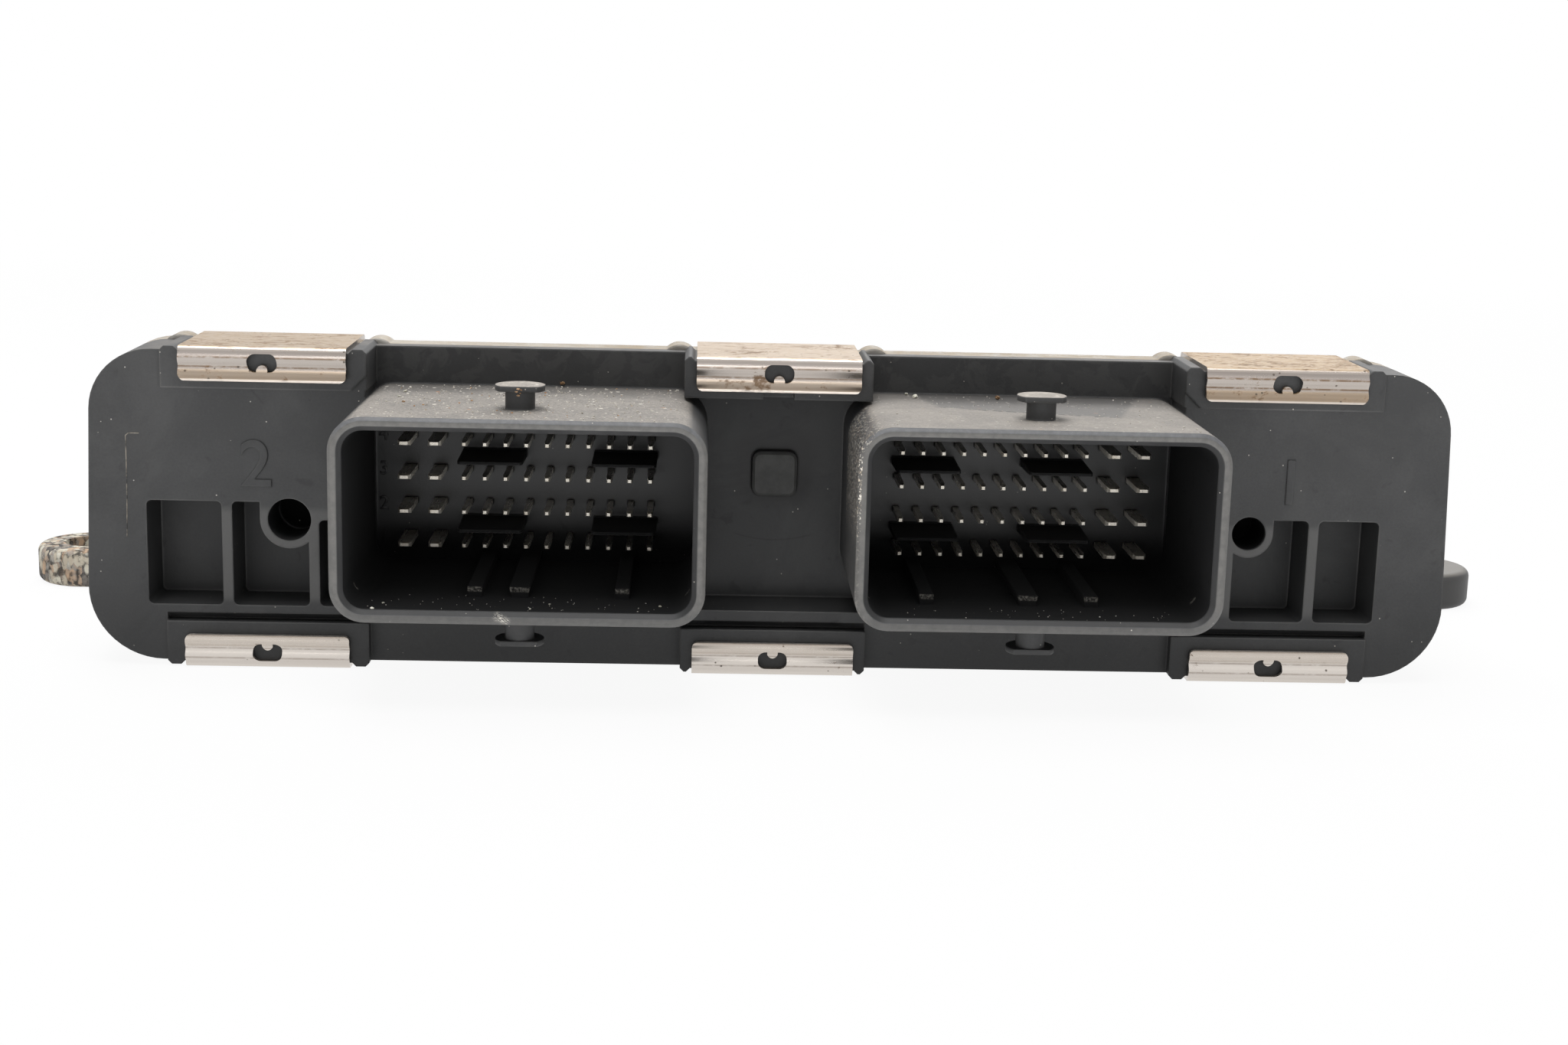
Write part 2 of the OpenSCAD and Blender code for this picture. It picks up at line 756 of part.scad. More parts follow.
// The pockets in one end block, with an outer pocket w wide and a blind hole of diameter d
module end_pockets(w, d, lift) {
  rim_r = blind_d / 2 + blind_wall;
  wall_r = d / 2 + blind_wall;
  low = bottom_z + pocket_z;
  hole_x = blind_x - (blind_d - d) / 2;
  hole_z = bottom_z + blind_z + lift;
  inner_0 = block_x + pocket_rib;
  inner_1 = blind_x - rim_r;
  middle_0 = inner_1 + pocket_rib;
  middle_1 = blind_x + rim_r + pocket_reach;
  outer_0 = middle_1 + pocket_rib;
  along_y(face_y - over, face_y + pocket_depth) {
    difference() {
      translate([(middle_0 + middle_1) / 2, low + pocket_h / 2])
        rounded_rect(middle_1 - middle_0, pocket_h, pocket_r);
      translate([hole_x, hole_z])
        circle(wall_r);
      translate([hole_x - 2 * rim_r, hole_z])
        square([2 * rim_r + wall_r, pocket_h]);
    }
    translate([outer_0 + w / 2, low + pocket_h / 2])
      rounded_rect(w, pocket_h, pocket_r);
    translate([(inner_0 + inner_1) / 2, (low + hole_z) / 2])
      rounded_rect(inner_1 - inner_0, hole_z - low, pocket_r);
  }
  translate([hole_x, face_y - over, hole_z])
    rotate([-90, 0, 0])
      cylinder(h = pocket_depth + over, d = d);
}

// The groove over a lower pad of width w, with a roof that slopes in
module pad_groove(x, w) {
  low = bottom_z + pad_bottom_h;
  high = low + groove_h;
  along_x(x, w)
    polygon([[pad_y - over, low], [face_y + groove_depth, low], [face_y, high], [pad_y - over, high]]);
}

// The notch in the lower edge of the upper middle pad
module pad_notch() {
  low = top_z - pad_top_h;
  box([-notch_w / 2, pad_y - over, low - over], [notch_w / 2, pad_y + notch_depth, low + notch_h]);
}

// The holes of one socket's pins in the wall
module pin_holes() {
  for (r = [0 : row_count - 1]) {
    for (i = [0 : signal_count - 1])
      translate([pin_x(i), (wall_y + joint_y) / 2, row_z(r)])
        cube([signal_size + 2 * pin_fit, wall_t + 2 * over, signal_size + 2 * pin_fit], center = true);
    for (i = [0 : power_count - 1])
      translate([blade_x(i), (wall_y + joint_y) / 2, row_z(r)])
        cube([power_w + 2 * pin_fit, wall_t + 2 * over, signal_size + 2 * pin_fit], center = true);
  }
}

// The arm behind the wall that one front corner of the board is screwed to
module board_arm() {
  difference() {
    box(
      [arm_x - arm_w / 2, joint_y - bite, board_top_z],
      [arm_x + arm_w / 2, joint_y + arm_len, board_top_z + screw_len + bore_spare + arm_cap]
    );
    translate([arm_x, arm_screw_y, board_top_z - over])
      cylinder(h = screw_len + bore_spare + over, d = screw_d + screw_fit);
  }
}

// The ledge under the sockets at the plate's bottom edge, with the block between the sockets
module lower_ledge() {
  top = bottom_z + pad_bottom_h + groove_h + centre_rib_h;
  box([-pad_mid_w / 2, face_y, bottom_z], [pad_mid_w / 2, wall_y + bite, top]);
  box([-block_x - bite, face_y + ledge_back, bottom_z], [block_x + bite, wall_y + bite, top]);
}

// The wall with its end blocks and the seats of the clips
module plate_body() {
  difference() {
    union() {
      stepped_plate();
      both_sides() {
        difference() {
          translate([clip_x, 0, 0])
            clip_pad(pad_w, pad_top_h, lug_w);
          pad_corner_cut(pad_top_h);
        }
        translate([clip_x, 0, 0])
          at_bottom()
            clip_pad(pad_w, pad_bottom_h, lug_w);
      }
      clip_pad(pad_mid_w, pad_top_h, lug_mid_w);
      at_bottom()
        clip_pad(pad_mid_w, pad_bottom_h, lug_mid_w);
      lower_ledge();
    }
    pad_notch();
    mirror([1, 0, 0])
      end_pockets(pocket_left_w, blind_d, 0);
    end_pockets(pocket_right_w, blind_right_d, blind_right_lift);
    for (x = [-clip_x, clip_x])
      pad_groove(x, pad_w);
    pad_groove(0, pad_mid_w);
  }
}

module connector_header() {
  color([0.1, 0.1, 0.11]) {
    difference() {
      union() {
        plate_body();
        both_sides() {
          shroud_body();
          latch_post(post_h);
          translate([0, 0, 2 * socket_mid_z])
            mirror([0, 0, 1])
              latch_post(post_low_h);
          board_arm();
        }
      }
      both_sides() {
        shroud_room();
        pin_holes();
      }
      vent_seat();
    }
    shroud_inside(key_right, key_shift);
    mirror([1, 0, 0])
      shroud_inside(key_left, 0);
  }
}

// The recess and breathing hole of the vent
module vent_seat() {
  seat_w = vent_w + 2 * vent_room;
  translate([0, 0, bottom_z + vent_z]) {
    along_y(wall_y - over, wall_y + vent_t)
      rounded_rect(seat_w, seat_w, vent_r + vent_room);
    along_y(wall_y - over, joint_y + over)
      circle(d = vent_d);
  }
}

module vent_membrane() {
  color([0.3, 0.31, 0.3])
    translate([0, 0, bottom_z + vent_z]) {
      along_y(wall_y - vent_rise + vent_bevel, wall_y + vent_t)
        rounded_rect(vent_w, vent_w, vent_r);
      translate([0, wall_y - vent_rise + vent_bevel, 0])
        rotate([90, 0, 0])
          bevelled_slab(vent_w, vent_w, vent_r, vent_bevel, vent_bevel);
    }
}

// The can's section between its floor and a roof at height h, shrunk by inset
module can_section(y, w, h, inset) {
  r = can_r - inset;
  along_y(y, y + slice)
    translate([0, h / 2])
      rounded_rect(w - 2 * inset, h - 2 * inset, r);
}

// The can's tapering form from y0 to its rounded rear, shrunk by inset
module can_form(y0, inset) {
  turn = back_y - can_back_r;
  rear_w = can_w - 2 * can_draft;
  hull() {
    can_section(y0, can_w, roof_z(max(y0, neck_y)), inset);
    can_section(turn, rear_w, roof_z(turn), inset);
    for (a = [30, 60, 90]) {
      reach = (can_back_r - inset) * sin(a);
      shrink = (can_back_r - inset) * (1 - cos(a));
      can_section(turn + reach - slice, rear_w, roof_z(turn), inset + shrink);
    }
  }
}

// The step in the can's floor next to the flange, raised over the mounting plane to z
module neck_step(z, length) {
  box([-plate_w, joint_y - over, -over], [plate_w, neck_y + length, z]);
}

// The rails for the board's side edges, left standing when the can is hollowed
module board_rails() {
  inner = board_w / 2 - rail_w;
  edge = board_w / 2 + rail_room;
  start = neck_y + neck_len + can_wall + rail_start;
  box([inner, start, 0], [plate_w, back_y, board_z]);
  box([inner, start, board_top_z + rail_room], [plate_w, back_y, board_top_z + rail_room + rail_t]);
  box([edge, start, 0], [plate_w, back_y, board_top_z + rail_t]);
}

// The raised floor under the power stages on one side, up to the gap pads
module pedestal() {
  translate([stage_x - stage_w / 2, stage_y - stage_len / 2, 0])
    cube([stage_w, stage_len, board_z - gap_pad_t]);
}

// The bumps on the flange's top edge at both sides of the upper clips
module flange_bumps() {
  r = (bump_w * bump_w / 4 + bump_h * bump_h) / (2 * bump_h);
  for (x = [-clip_x, 0, clip_x], s = [-1, 1])
    translate([x + s * (clip_w / 2 + bump_side), top_z + bump_h - r])
      circle(r);
}

// One mounting ear with round edges: a straight part and half a disc
module ear() {
  reach = can_w / 2 - ear_root;
  translate([0, neck_y + ear_y, ear_t / 2]) {
    along_x((reach + ear_x) / 2, ear_x - reach)
      rounded_rect(2 * ear_r, ear_t, ear_edge_r);
    difference() {
      translate([ear_x, 0, 0])
        rotate_extrude()
          intersection() {
            rounded_rect(2 * ear_r, ear_t, ear_edge_r);
            translate([0, -ear_t])
              square([ear_r + over, 2 * ear_t]);
          }
      box([reach, -ear_r - over, -ear_t], [ear_x, ear_r + over, ear_t]);
    }
  }
}

// A ring round the can's mouth in the flange, from gap to gap + w outside it
module mouth_ring(gap, w) {
  h = mouth_top_z - mouth_bottom_z;
  translate([0, (mouth_top_z + mouth_bottom_z) / 2])
    difference() {
      rounded_rect(mouth_w + 2 * (gap + w), h + 2 * (gap + w), mouth_r + gap + w);
      rounded_rect(mouth_w + 2 * gap, h + 2 * gap, mouth_r + gap);
    }
}

// The cooling ribs along the roof
module roof_ribs() {
  pitch = (can_w - 2 * rib_side) / (rib_count - 1);
  y0 = neck_y + rib_front;
  y1 = back_y - rib_back;
  for (i = [0 : rib_count - 1])
    along_x((i - (rib_count - 1) / 2) * pitch, rib_w)
      polygon([
        [y0, roof_z(y0) - can_wall / 2], [y1, roof_z(y1) - can_wall / 2],
        [y1, roof_z(y1)], [y1 - rib_h, roof_z(y1) + rib_h],
        [y0 + rib_h, roof_z(y0) + rib_h], [y0, roof_z(y0)]
      ]);
}

module housing() {
  color([0.62, 0.6, 0.56])
    difference() {
      union() {
        along_y(joint_y, neck_y) {
          plate_outline();
          flange_bumps();
        }
        difference() {
          can_form(neck_y - bite, 0);
          neck_step(neck_lift, neck_len);
        }
        roof_ribs();
        both_sides()
          ear();
      }
      difference() {
        can_form(joint_y - over, can_wall);
        neck_step(mouth_bottom_z, neck_len + can_wall);
        both_sides() {
          board_rails();
          pedestal();
        }
      }
      along_y(joint_y - over, joint_y + seal_t)
        mouth_ring(seal_gap, seal_w);
      both_sides()
        translate([ear_x, neck_y + ear_y, -over])
          cylinder(h = ear_t + 2 * over, d = ear_hole_d);
    }
}

module perimeter_seal() {
  color([0.25, 0.25, 0.27])
    along_y(joint_y, joint_y + seal_t)
      mouth_ring(seal_gap + seal_room, seal_w - 2 * seal_room);
}

// How far a clip's front leg stands off its pad, s from 0 at the seat to 1 at the free edge
function leg_flare(s) = clip_flare * pow(max(0, (s - flare_from) / (1 - flare_from)), 2);
function leg_wave(s) = clip_bead * pow(sin(360 * s), 2) + leg_flare(s);

// A clip's section in Y and Z, over the plate's top edge
module clip_section() {
  steps = 28;
  outer = [for (i = [0 : steps]) [pad_y - clip_t - leg_wave(i / steps), top_z - clip_leg * i / steps]];
  inner = [for (i = [steps : -1 : 0]) [pad_y - leg_wave(i / steps), top_z - clip_leg * i / steps]];
  polygon(concat(outer, inner));
  translate([pad_y, top_z])
    square([neck_y - pad_y, clip_t]);
  translate([neck_y, top_z - clip_hook])
    square([clip_t, clip_hook]);
  intersection() {
    for (y = [pad_y, neck_y])
      translate([y, top_z])
        circle(clip_t);
    translate([pad_y - clip_t, top_z])
      square([neck_y - pad_y + 2 * clip_t, clip_t]);
  }
}

// The window in a clip's front leg, with a round-ended tongue left standing in it
module clip_window() {
  low = top_z - window_drop - window_h;
  difference() {
    translate([0, low + window_h / 2])
      rounded_rect(window_w, window_h, window_round * window_h);
    translate([-tongue_w / 2, low - over])
      square([tongue_w, tongue_h - tongue_w / 2 + over]);
    translate([0, low + tongue_h - tongue_w / 2])
      circle(tongue_w / 2);
  }
}

// The spring clip over the plate's top edge
module clip() {
  front = pad_y - clip_t - clip_bead - clip_flare - over;
  low = top_z - clip_leg;
  difference() {
    along_x(0, clip_w)
      clip_section();
    along_y(front, pad_y + over)
      clip_window();
    for (s = [-1, 1])
      along_y(front, pad_y + over)
        difference() {
          translate([s * clip_w / 2 - clip_r, low - over])
            square([2 * clip_r, clip_r + over]);
          translate([s * (clip_w / 2 - clip_r), low + clip_r])
            circle(clip_r);
          translate([-s * clip_r, 0])
            translate([-clip_w / 2, low - over])
              square([clip_w, clip_r + 2 * over]);
        }
  }
}

module clip_steel() {
  color([0.72, 0.68, 0.62])
    clip();
}

module clip_top_left() {
  translate([-clip_x, 0, 0])
    clip_steel();
}

module clip_top_centre() {
  clip_steel();
}

module clip_top_right() {
  translate([clip_x, 0, 0])
    clip_steel();
}

module clip_bottom_left() {
  at_bottom()
    clip_top_left();
}

module clip_bottom_centre() {
  at_bottom()
    clip_top_centre();
}

module clip_bottom_right() {
  at_bottom()
    clip_top_right();
}

// A bent pin at x in row r, w wide, with its tip narrowed to tip_w
module pin(x, r, w, tip_w) {
  half = signal_size / 2;
  z = row_z(r);
  y = bend_y(r);
  tip_half = signal_tip / 2;
  color([0.8, 0.78, 0.72])
    intersection() {
      along_x(x, w) {
        polygon([
          [tip_y, z - tip_half], [tip_y + tip_len, z - half], [y - half, z - half],
          [y - half, z + half], [tip_y + tip_len, z + half], [tip_y, z + tip_half]
        ]);
        translate([y - half, tail_z])
          square([signal_size, z - half - tail_z]);
        intersection() {
          translate([y - half, z - half])
            circle(signal_size);
          translate([y - half, z - half])
            square(signal_size);
        }
      }
      translate([x, 0, 0])
        linear_extrude(z + over)
          polygon([
            [-tip_w / 2, tip_y], [tip_w / 2, tip_y], [w / 2, tip_y + tip_len],
            [w / 2, y + over], [-w / 2, y + over], [-w / 2, tip_y + tip_len]
          ]);
    }
}

module signal_pins_right() {
  for (r = [0 : row_count - 1], i = [0 : signal_count - 1])
    pin(pin_x(i), r, signal_size, signal_tip);
}

module signal_pins_left() {
  mirror([1, 0, 0])
    signal_pins_right();
}

module power_pins_right() {
  for (r = [0 : row_count - 1], i = [0 : power_count - 1])
    pin(blade_x(i), r, power_w, power_tip);
}

module power_pins_left() {
  mirror([1, 0, 0])
    power_pins_right();
}

// The holes of one socket's pins in the board, just wide enough for the pins' corners
module board_pin_holes() {
  signal_hole = signal_size * sqrt(2) + hole_room;
  power_hole = norm([power_w, signal_size]) + hole_room;
  for (r = [0 : row_count - 1]) {
    for (i = [0 : signal_count - 1])
      translate([pin_x(i), bend_y(r), board_z - over])
        cylinder(h = board_t + 2 * over, d = signal_hole);
    for (i = [0 : power_count - 1])
      translate([blade_x(i), bend_y(r), board_z - over])
        cylinder(h = board_t + 2 * over, d = power_hole);
  }
}

module circuit_board() {
  color([0.1, 0.36, 0.2])
    difference() {
      box([-board_w / 2, board_front_y, board_z], [board_w / 2, board_back_y, board_top_z]);
      both_sides() {
        board_pin_holes();
        translate([arm_x, arm_screw_y, board_z - over])
          cylinder(h = board_t + 2 * over, d = screw_d + screw_room);
      }
    }
}

module board_screws() {
  color([0.7, 0.7, 0.68])
    both_sides()
      translate([arm_x, arm_screw_y, board_z]) {
        translate([0, 0, -screw_head_t])
          cylinder(h = screw_head_t, d = screw_head_d);
        cylinder(h = board_t + screw_len, d = screw_d);
      }
}

// A leadless chip on the board, w by l and h high, its centre at x and at a distance behind the front edge
module chip(x, back, w, l, h) {
  translate([x - w / 2, board_front_y + back - l / 2, board_top_z]) {
    cube([w, l, h - chip_bevel]);
    translate([chip_bevel, chip_bevel, h - chip_bevel])
      cube([w - 2 * chip_bevel, l - 2 * chip_bevel, chip_bevel]);
  }
}

module microcontroller() {
  color([0.13, 0.13, 0.14])
    chip(0, micro_back, micro_w, micro_w, micro_h);
}

module power_supply_chip() {
  color([0.14, 0.14, 0.15])
    chip(-supply_x, supply_back, supply_w, supply_w, supply_h);
}

module injector_drivers() {
  color([0.12, 0.12, 0.13])
    for (s = [-1, 1])
      chip(-stage_x, stage_back + s * injector_pitch / 2, injector_w, injector_l, injector_h);
}

module ignition_drivers() {
  color([0.13, 0.13, 0.14])
    for (i = [0 : ignition_count - 1])
      chip(
        stage_x + (i - (ignition_count - 1) / 2) * ignition_pitch,
        stage_back + ignition_back, ignition_w, ignition_l, ignition_h
      );
}

module throttle_driver() {
  color([0.12, 0.12, 0.13])
    chip(stage_x, stage_back - throttle_front, throttle_w, throttle_l, throttle_h);
}

module bus_transceivers() {
  color([0.14, 0.14, 0.15])
    for (s = [-1, 1])
      chip(s * bus_pitch / 2, bus_back, bus_w, bus_l, bus_h);
}

module pressure_sensor() {
  color([0.5, 0.5, 0.47])
    difference() {
      chip(-sensor_x, board_len - sensor_end, sensor_w, sensor_w, sensor_h);
      translate([-sensor_x, board_back_y - sensor_end, board_top_z + sensor_h - sensor_port_h])
        cylinder(h = sensor_port_h + over, d = sensor_port_d);
    }
}

// The crystal stands beside the microcontroller
module clock_crystal() {
  color([0.75, 0.75, 0.73])
    translate([crystal_x, board_front_y + micro_back, board_top_z])
      linear_extrude(crystal_h)
        rounded_rect(crystal_w, crystal_l, crystal_r);
}

// Aluminium can capacitors on their square feet
module input_capacitors() {
  color([0.7, 0.7, 0.72])
    for (i = [0, 1])
      translate([cap_x + i * cap_pitch, board_back_y - cap_end, board_top_z]) {
        translate([-cap_foot / 2, -cap_foot / 2, 0])
          cube([cap_foot, cap_foot, cap_foot_h]);
        translate([0, 0, cap_foot_h])
          cylinder(h = cap_h, d = cap_d);
      }
}

module choke_coil() {
  color([0.3, 0.3, 0.31])
    translate([-coil_x, board_back_y - coil_end, board_top_z])
      difference() {
        linear_extrude(coil_h)
          rounded_rect(coil_w, coil_w, coil_r);
        translate([0, 0, coil_h - coil_top_h])
          cylinder(h = coil_top_h + over, d = coil_top_d);
      }
}

// A row of filter capacitors behind each socket's pins
module ceramic_capacitors() {
  color([0.62, 0.5, 0.36])
    both_sides()
      for (i = [0 : signal_count - 1])
        translate([pin_x(i) - filter_w / 2, bend_y(row_count - 1) + filter_back, board_top_z])
          cube([filter_w, filter_l, filter_h]);
}

module shunt_resistors() {
  color([0.2, 0.2, 0.22])
    for (i = [0 : shunt_count - 1])
      translate([stage_x + shunt_x, stage_y + (i - (shunt_count - 1) / 2) * shunt_pitch, board_top_z])
        linear_extrude(shunt_h)
          square([shunt_w, shunt_l], center = true);
}

// Soft pads that carry heat from the board to the raised floor
module gap_pads() {
  color([0.55, 0.6, 0.68])
    both_sides()
      translate([stage_x, stage_y, board_z - gap_pad_t])
        linear_extrude(gap_pad_t)
          square([stage_w - 2 * gap_pad_inset, stage_len - 2 * gap_pad_inset], center = true);
}

connector_header();
housing();
perimeter_seal();
vent_membrane();
clip_top_left();
clip_top_centre();
clip_top_right();
clip_bottom_left();
clip_bottom_centre();
clip_bottom_right();
signal_pins_left();
signal_pins_right();
power_pins_left();
power_pins_right();
circuit_board();
board_screws();
gap_pads();
microcontroller();
power_supply_chip();
injector_drivers();
ignition_drivers();
throttle_driver();
bus_transceivers();
pressure_sensor();
clock_crystal();
input_capacitors();
choke_coil();
ceramic_capacitors();
shunt_resistors();
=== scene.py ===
import math
import random
from types import SimpleNamespace

import bmesh
import bpy
from mathutils import Matrix, Vector


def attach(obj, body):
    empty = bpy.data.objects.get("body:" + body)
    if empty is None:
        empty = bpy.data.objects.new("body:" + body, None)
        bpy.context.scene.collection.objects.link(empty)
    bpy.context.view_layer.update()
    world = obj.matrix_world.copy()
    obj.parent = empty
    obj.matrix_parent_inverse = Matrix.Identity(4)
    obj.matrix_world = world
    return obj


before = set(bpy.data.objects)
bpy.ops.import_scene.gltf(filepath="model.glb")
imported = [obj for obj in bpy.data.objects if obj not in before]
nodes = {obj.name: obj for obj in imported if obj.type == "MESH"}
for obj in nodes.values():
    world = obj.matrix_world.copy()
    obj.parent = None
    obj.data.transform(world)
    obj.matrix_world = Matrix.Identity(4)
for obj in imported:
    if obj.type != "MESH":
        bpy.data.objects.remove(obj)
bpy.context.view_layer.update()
mm = 0.001
print("frame loaded:", len(nodes), "nodes")


# a socket of a node tree, so that masks can be written as sums
class Wire:
    def __init__(self, bench, socket):
        self.bench = bench
        self.socket = socket

    def maths(self, operation, a, b=0.0):
        return self.bench.add("ShaderNodeMath", {"operation": operation}, {0: a, 1: b})

    def __add__(self, other):
        return self.maths("ADD", self, other)

    def __radd__(self, other):
        return self.maths("ADD", other, self)

    def __sub__(self, other):
        return self.maths("SUBTRACT", self, other)

    def __rsub__(self, other):
        return self.maths("SUBTRACT", other, self)

    def __mul__(self, other):
        return self.maths("MULTIPLY", self, other)

    def __rmul__(self, other):
        return self.maths("MULTIPLY", other, self)

    def __pow__(self, other):
        return self.maths("POWER", self, other)

    def size(self):
        return self.maths("ABSOLUTE", self)

    def atLeast(self, other):
        return self.maths("MAXIMUM", self, other)

    def atMost(self, other):
        return self.maths("MINIMUM", self, other)

    # 0 below low, 1 above high, and a soft step between them
    def step(self, low, high):
        return self.bench.add(
            "ShaderNodeMapRange", {"interpolation_type": "SMOOTHSTEP"},
            {"Value": self, "From Min": low, "From Max": high, "To Min": 0.0, "To Max": 1.0})

    # 1 between low and high, falling off over soft
    def band(self, low, high, soft):
        return self.step(low - soft, low) * (1.0 - self.step(high, high + soft))


# a node tree that is being put together
class Bench:
    def __init__(self, tree):
        self.tree = tree

    # any node by its type, its settings first, then its sockets
    def add(self, kind, settings=None, sockets=None, out=0):
        node = self.tree.nodes.new(kind)
        for key, value in (settings or {}).items():
            if key == "stops":
                ramp = node.color_ramp
                while len(ramp.elements) < len(value):
                    ramp.elements.new(0.5)
                for element, (position, colour) in zip(ramp.elements, value):
                    element.position = position
                    element.color = colour
            else:
                setattr(node, key, value)
        for key, value in (sockets or {}).items():
            if isinstance(value, Wire):
                self.tree.links.new(value.socket, node.inputs[key])
            else:
                node.inputs[key].default_value = value
        return Wire(self, node.outputs[out]) if node.outputs else None


# a material on its bench, with places in millimetres
class Finish(Bench):
    def __init__(self, name):
        self.material = bpy.data.materials.new(name)
        self.material.use_nodes = True
        super().__init__(self.material.node_tree)
        self.tree.nodes.clear()
        self.object = self.add("ShaderNodeTexCoord", out="Object")
        self.place = self.spread(1.0, 1.0, 1.0)
        self.normal = self.add("ShaderNodeNewGeometry", out="Normal")

    # the place in millimetres, stretched along any axis
    def spread(self, x, y, z, shift=(0.0, 0.0, 0.0)):
        return self.add("ShaderNodeMapping", {"vector_type": "POINT"},
                        {"Vector": self.object, "Location": shift, "Scale": (x / mm, y / mm, z / mm)})

    def axes(self, vector):
        node = self.add("ShaderNodeSeparateXYZ", None, {0: vector}).socket.node
        return [Wire(self, socket) for socket in node.outputs]

    def noise(self, scale, detail=3.0, rough=0.55, vector=None, warp=0.0):
        return self.add("ShaderNodeTexNoise", None,
                        {"Vector": vector or self.place, "Scale": scale, "Detail": detail,
                         "Roughness": rough, "Distortion": warp})

    def cells(self, scale, vector=None, out="Distance"):
        return self.add("ShaderNodeTexVoronoi", None,
                        {"Vector": vector or self.place, "Scale": scale}, out=out)

    # small round specks in a share of the cells, their size as a share of a cell
    def specks(self, scale, share, size, vector=None):
        distance = self.cells(scale, vector)
        tint = self.axes(self.cells(scale, vector, out="Color"))
        return (1.0 - distance.step(size * 0.6, size)) * tint[0].step(1.0 - share, 1.0 - share + 0.01)

    def blend(self, factor, a, b):
        return self.add("ShaderNodeMix", {"data_type": "RGBA", "clamp_factor": True},
                        {0: factor, 6: a, 7: b}, out=2)

    def ramp(self, value, stops):
        return self.add("ShaderNodeValToRGB", {"stops": stops}, {"Fac": value})

    def bump(self, height, strength, distance, normal=None):
        sockets = {"Height": height, "Strength": strength, "Distance": distance}
        if normal is not None:
            sockets["Normal"] = normal
        return self.add("ShaderNodeBump", None, sockets)

    # a rounded normal, and how near a sharp edge is
    def softEdge(self, radius):
        soft = self.add("ShaderNodeBevel", {"samples": 6}, {"Radius": radius})
        dot = self.add("ShaderNodeVectorMath", {"operation": "DOT_PRODUCT"},
                       {0: soft, 1: self.normal}, out="Value")
        return soft, 1.0 - dot

    # 1 inside a box with rounded corners round the origin of u and v
    def roundedBox(self, u, v, halfU, halfV, radius, soft):
        du = (u.size() - (halfU - radius)).atLeast(0.0)
        dv = (v.size() - (halfV - radius)).atLeast(0.0)
        return 1.0 - ((du * du + dv * dv) ** 0.5).step(radius - soft, radius + soft)

    def surface(self, sockets):
        return self.close(self.add("ShaderNodeBsdfPrincipled", None, sockets))

    def close(self, shader):
        self.add("ShaderNodeOutputMaterial", None, {"Surface": shader})
        return self.material


def rgb(r, g, b):
    return (r, g, b, 1.0)


# the camera stands where the lines of the sockets and pins say that it stood
view = {
    "eye": (-9.57, -288.62, 70.08),
    "pitch": 11.44, "yaw": 2.37, "roll": 1.52,
    "focalPixels": 2912.26, "imageWidth": 2048, "sensor": 36.0,
}


def makeCamera():
    look = (Matrix.Rotation(math.radians(view["roll"]), 3, "Z")
            @ Matrix.Rotation(math.radians(view["pitch"]), 3, "X")
            @ Matrix(((1, 0, 0), (0, 0, -1), (0, 1, 0)))
            @ Matrix.Rotation(math.radians(view["yaw"]), 3, "Z"))
    data = bpy.data.cameras.new("photoCamera")
    data.sensor_fit = "HORIZONTAL"
    data.sensor_width = view["sensor"]
    data.lens = view["focalPixels"] / view["imageWidth"] * view["sensor"]
    data.clip_start = 0.01
    data.clip_end = 50.0
    camera = bpy.data.objects.new("photoCamera", data)
    turn = Matrix((look[0], -look[1], -look[2])).transposed()
    camera.matrix_world = Matrix.Translation(Vector(view["eye"]) * mm) @ turn.to_4x4()
    bpy.context.scene.collection.objects.link(camera)
    bpy.context.scene.camera = camera


makeCamera()
print("camera set")


studio = {
    "ambient": 0.15, "aim": (0.0, 0.0, 0.02),
    "lamps": [
        # name, place in metres, size, watts, seen in gloss
        ("topSoftbox", (-0.1, -0.04, 0.85), (0.9, 0.5), 7.6, True),
        ("frontSoftbox", (-0.5, -1.1, 0.3), (1.4, 0.7), 1.1, False),
        ("backSoftbox", (0.25, 0.8, 0.7), (0.7, 0.5), 3.0, True),
    ],
    # the white table before the object, which lights it from below
    "tableGlow": ((-0.12, -0.26, 0.002), (0.9, 0.4), 3.5),
    "floorColour": rgb(0.9, 0.9, 0.9), "floorSize": 6.0,
    "shadowShare": 0.07, "shadowReach": (350.0, 600.0),
}


def seenDirectly(bench):
    camera, glossy, through = [bench.add("ShaderNodeLightPath", out=name)
                               for name in ("Is Camera Ray", "Is Glossy Ray", "Is Transmission Ray")]
    return camera.atLeast(glossy).atLeast(through)


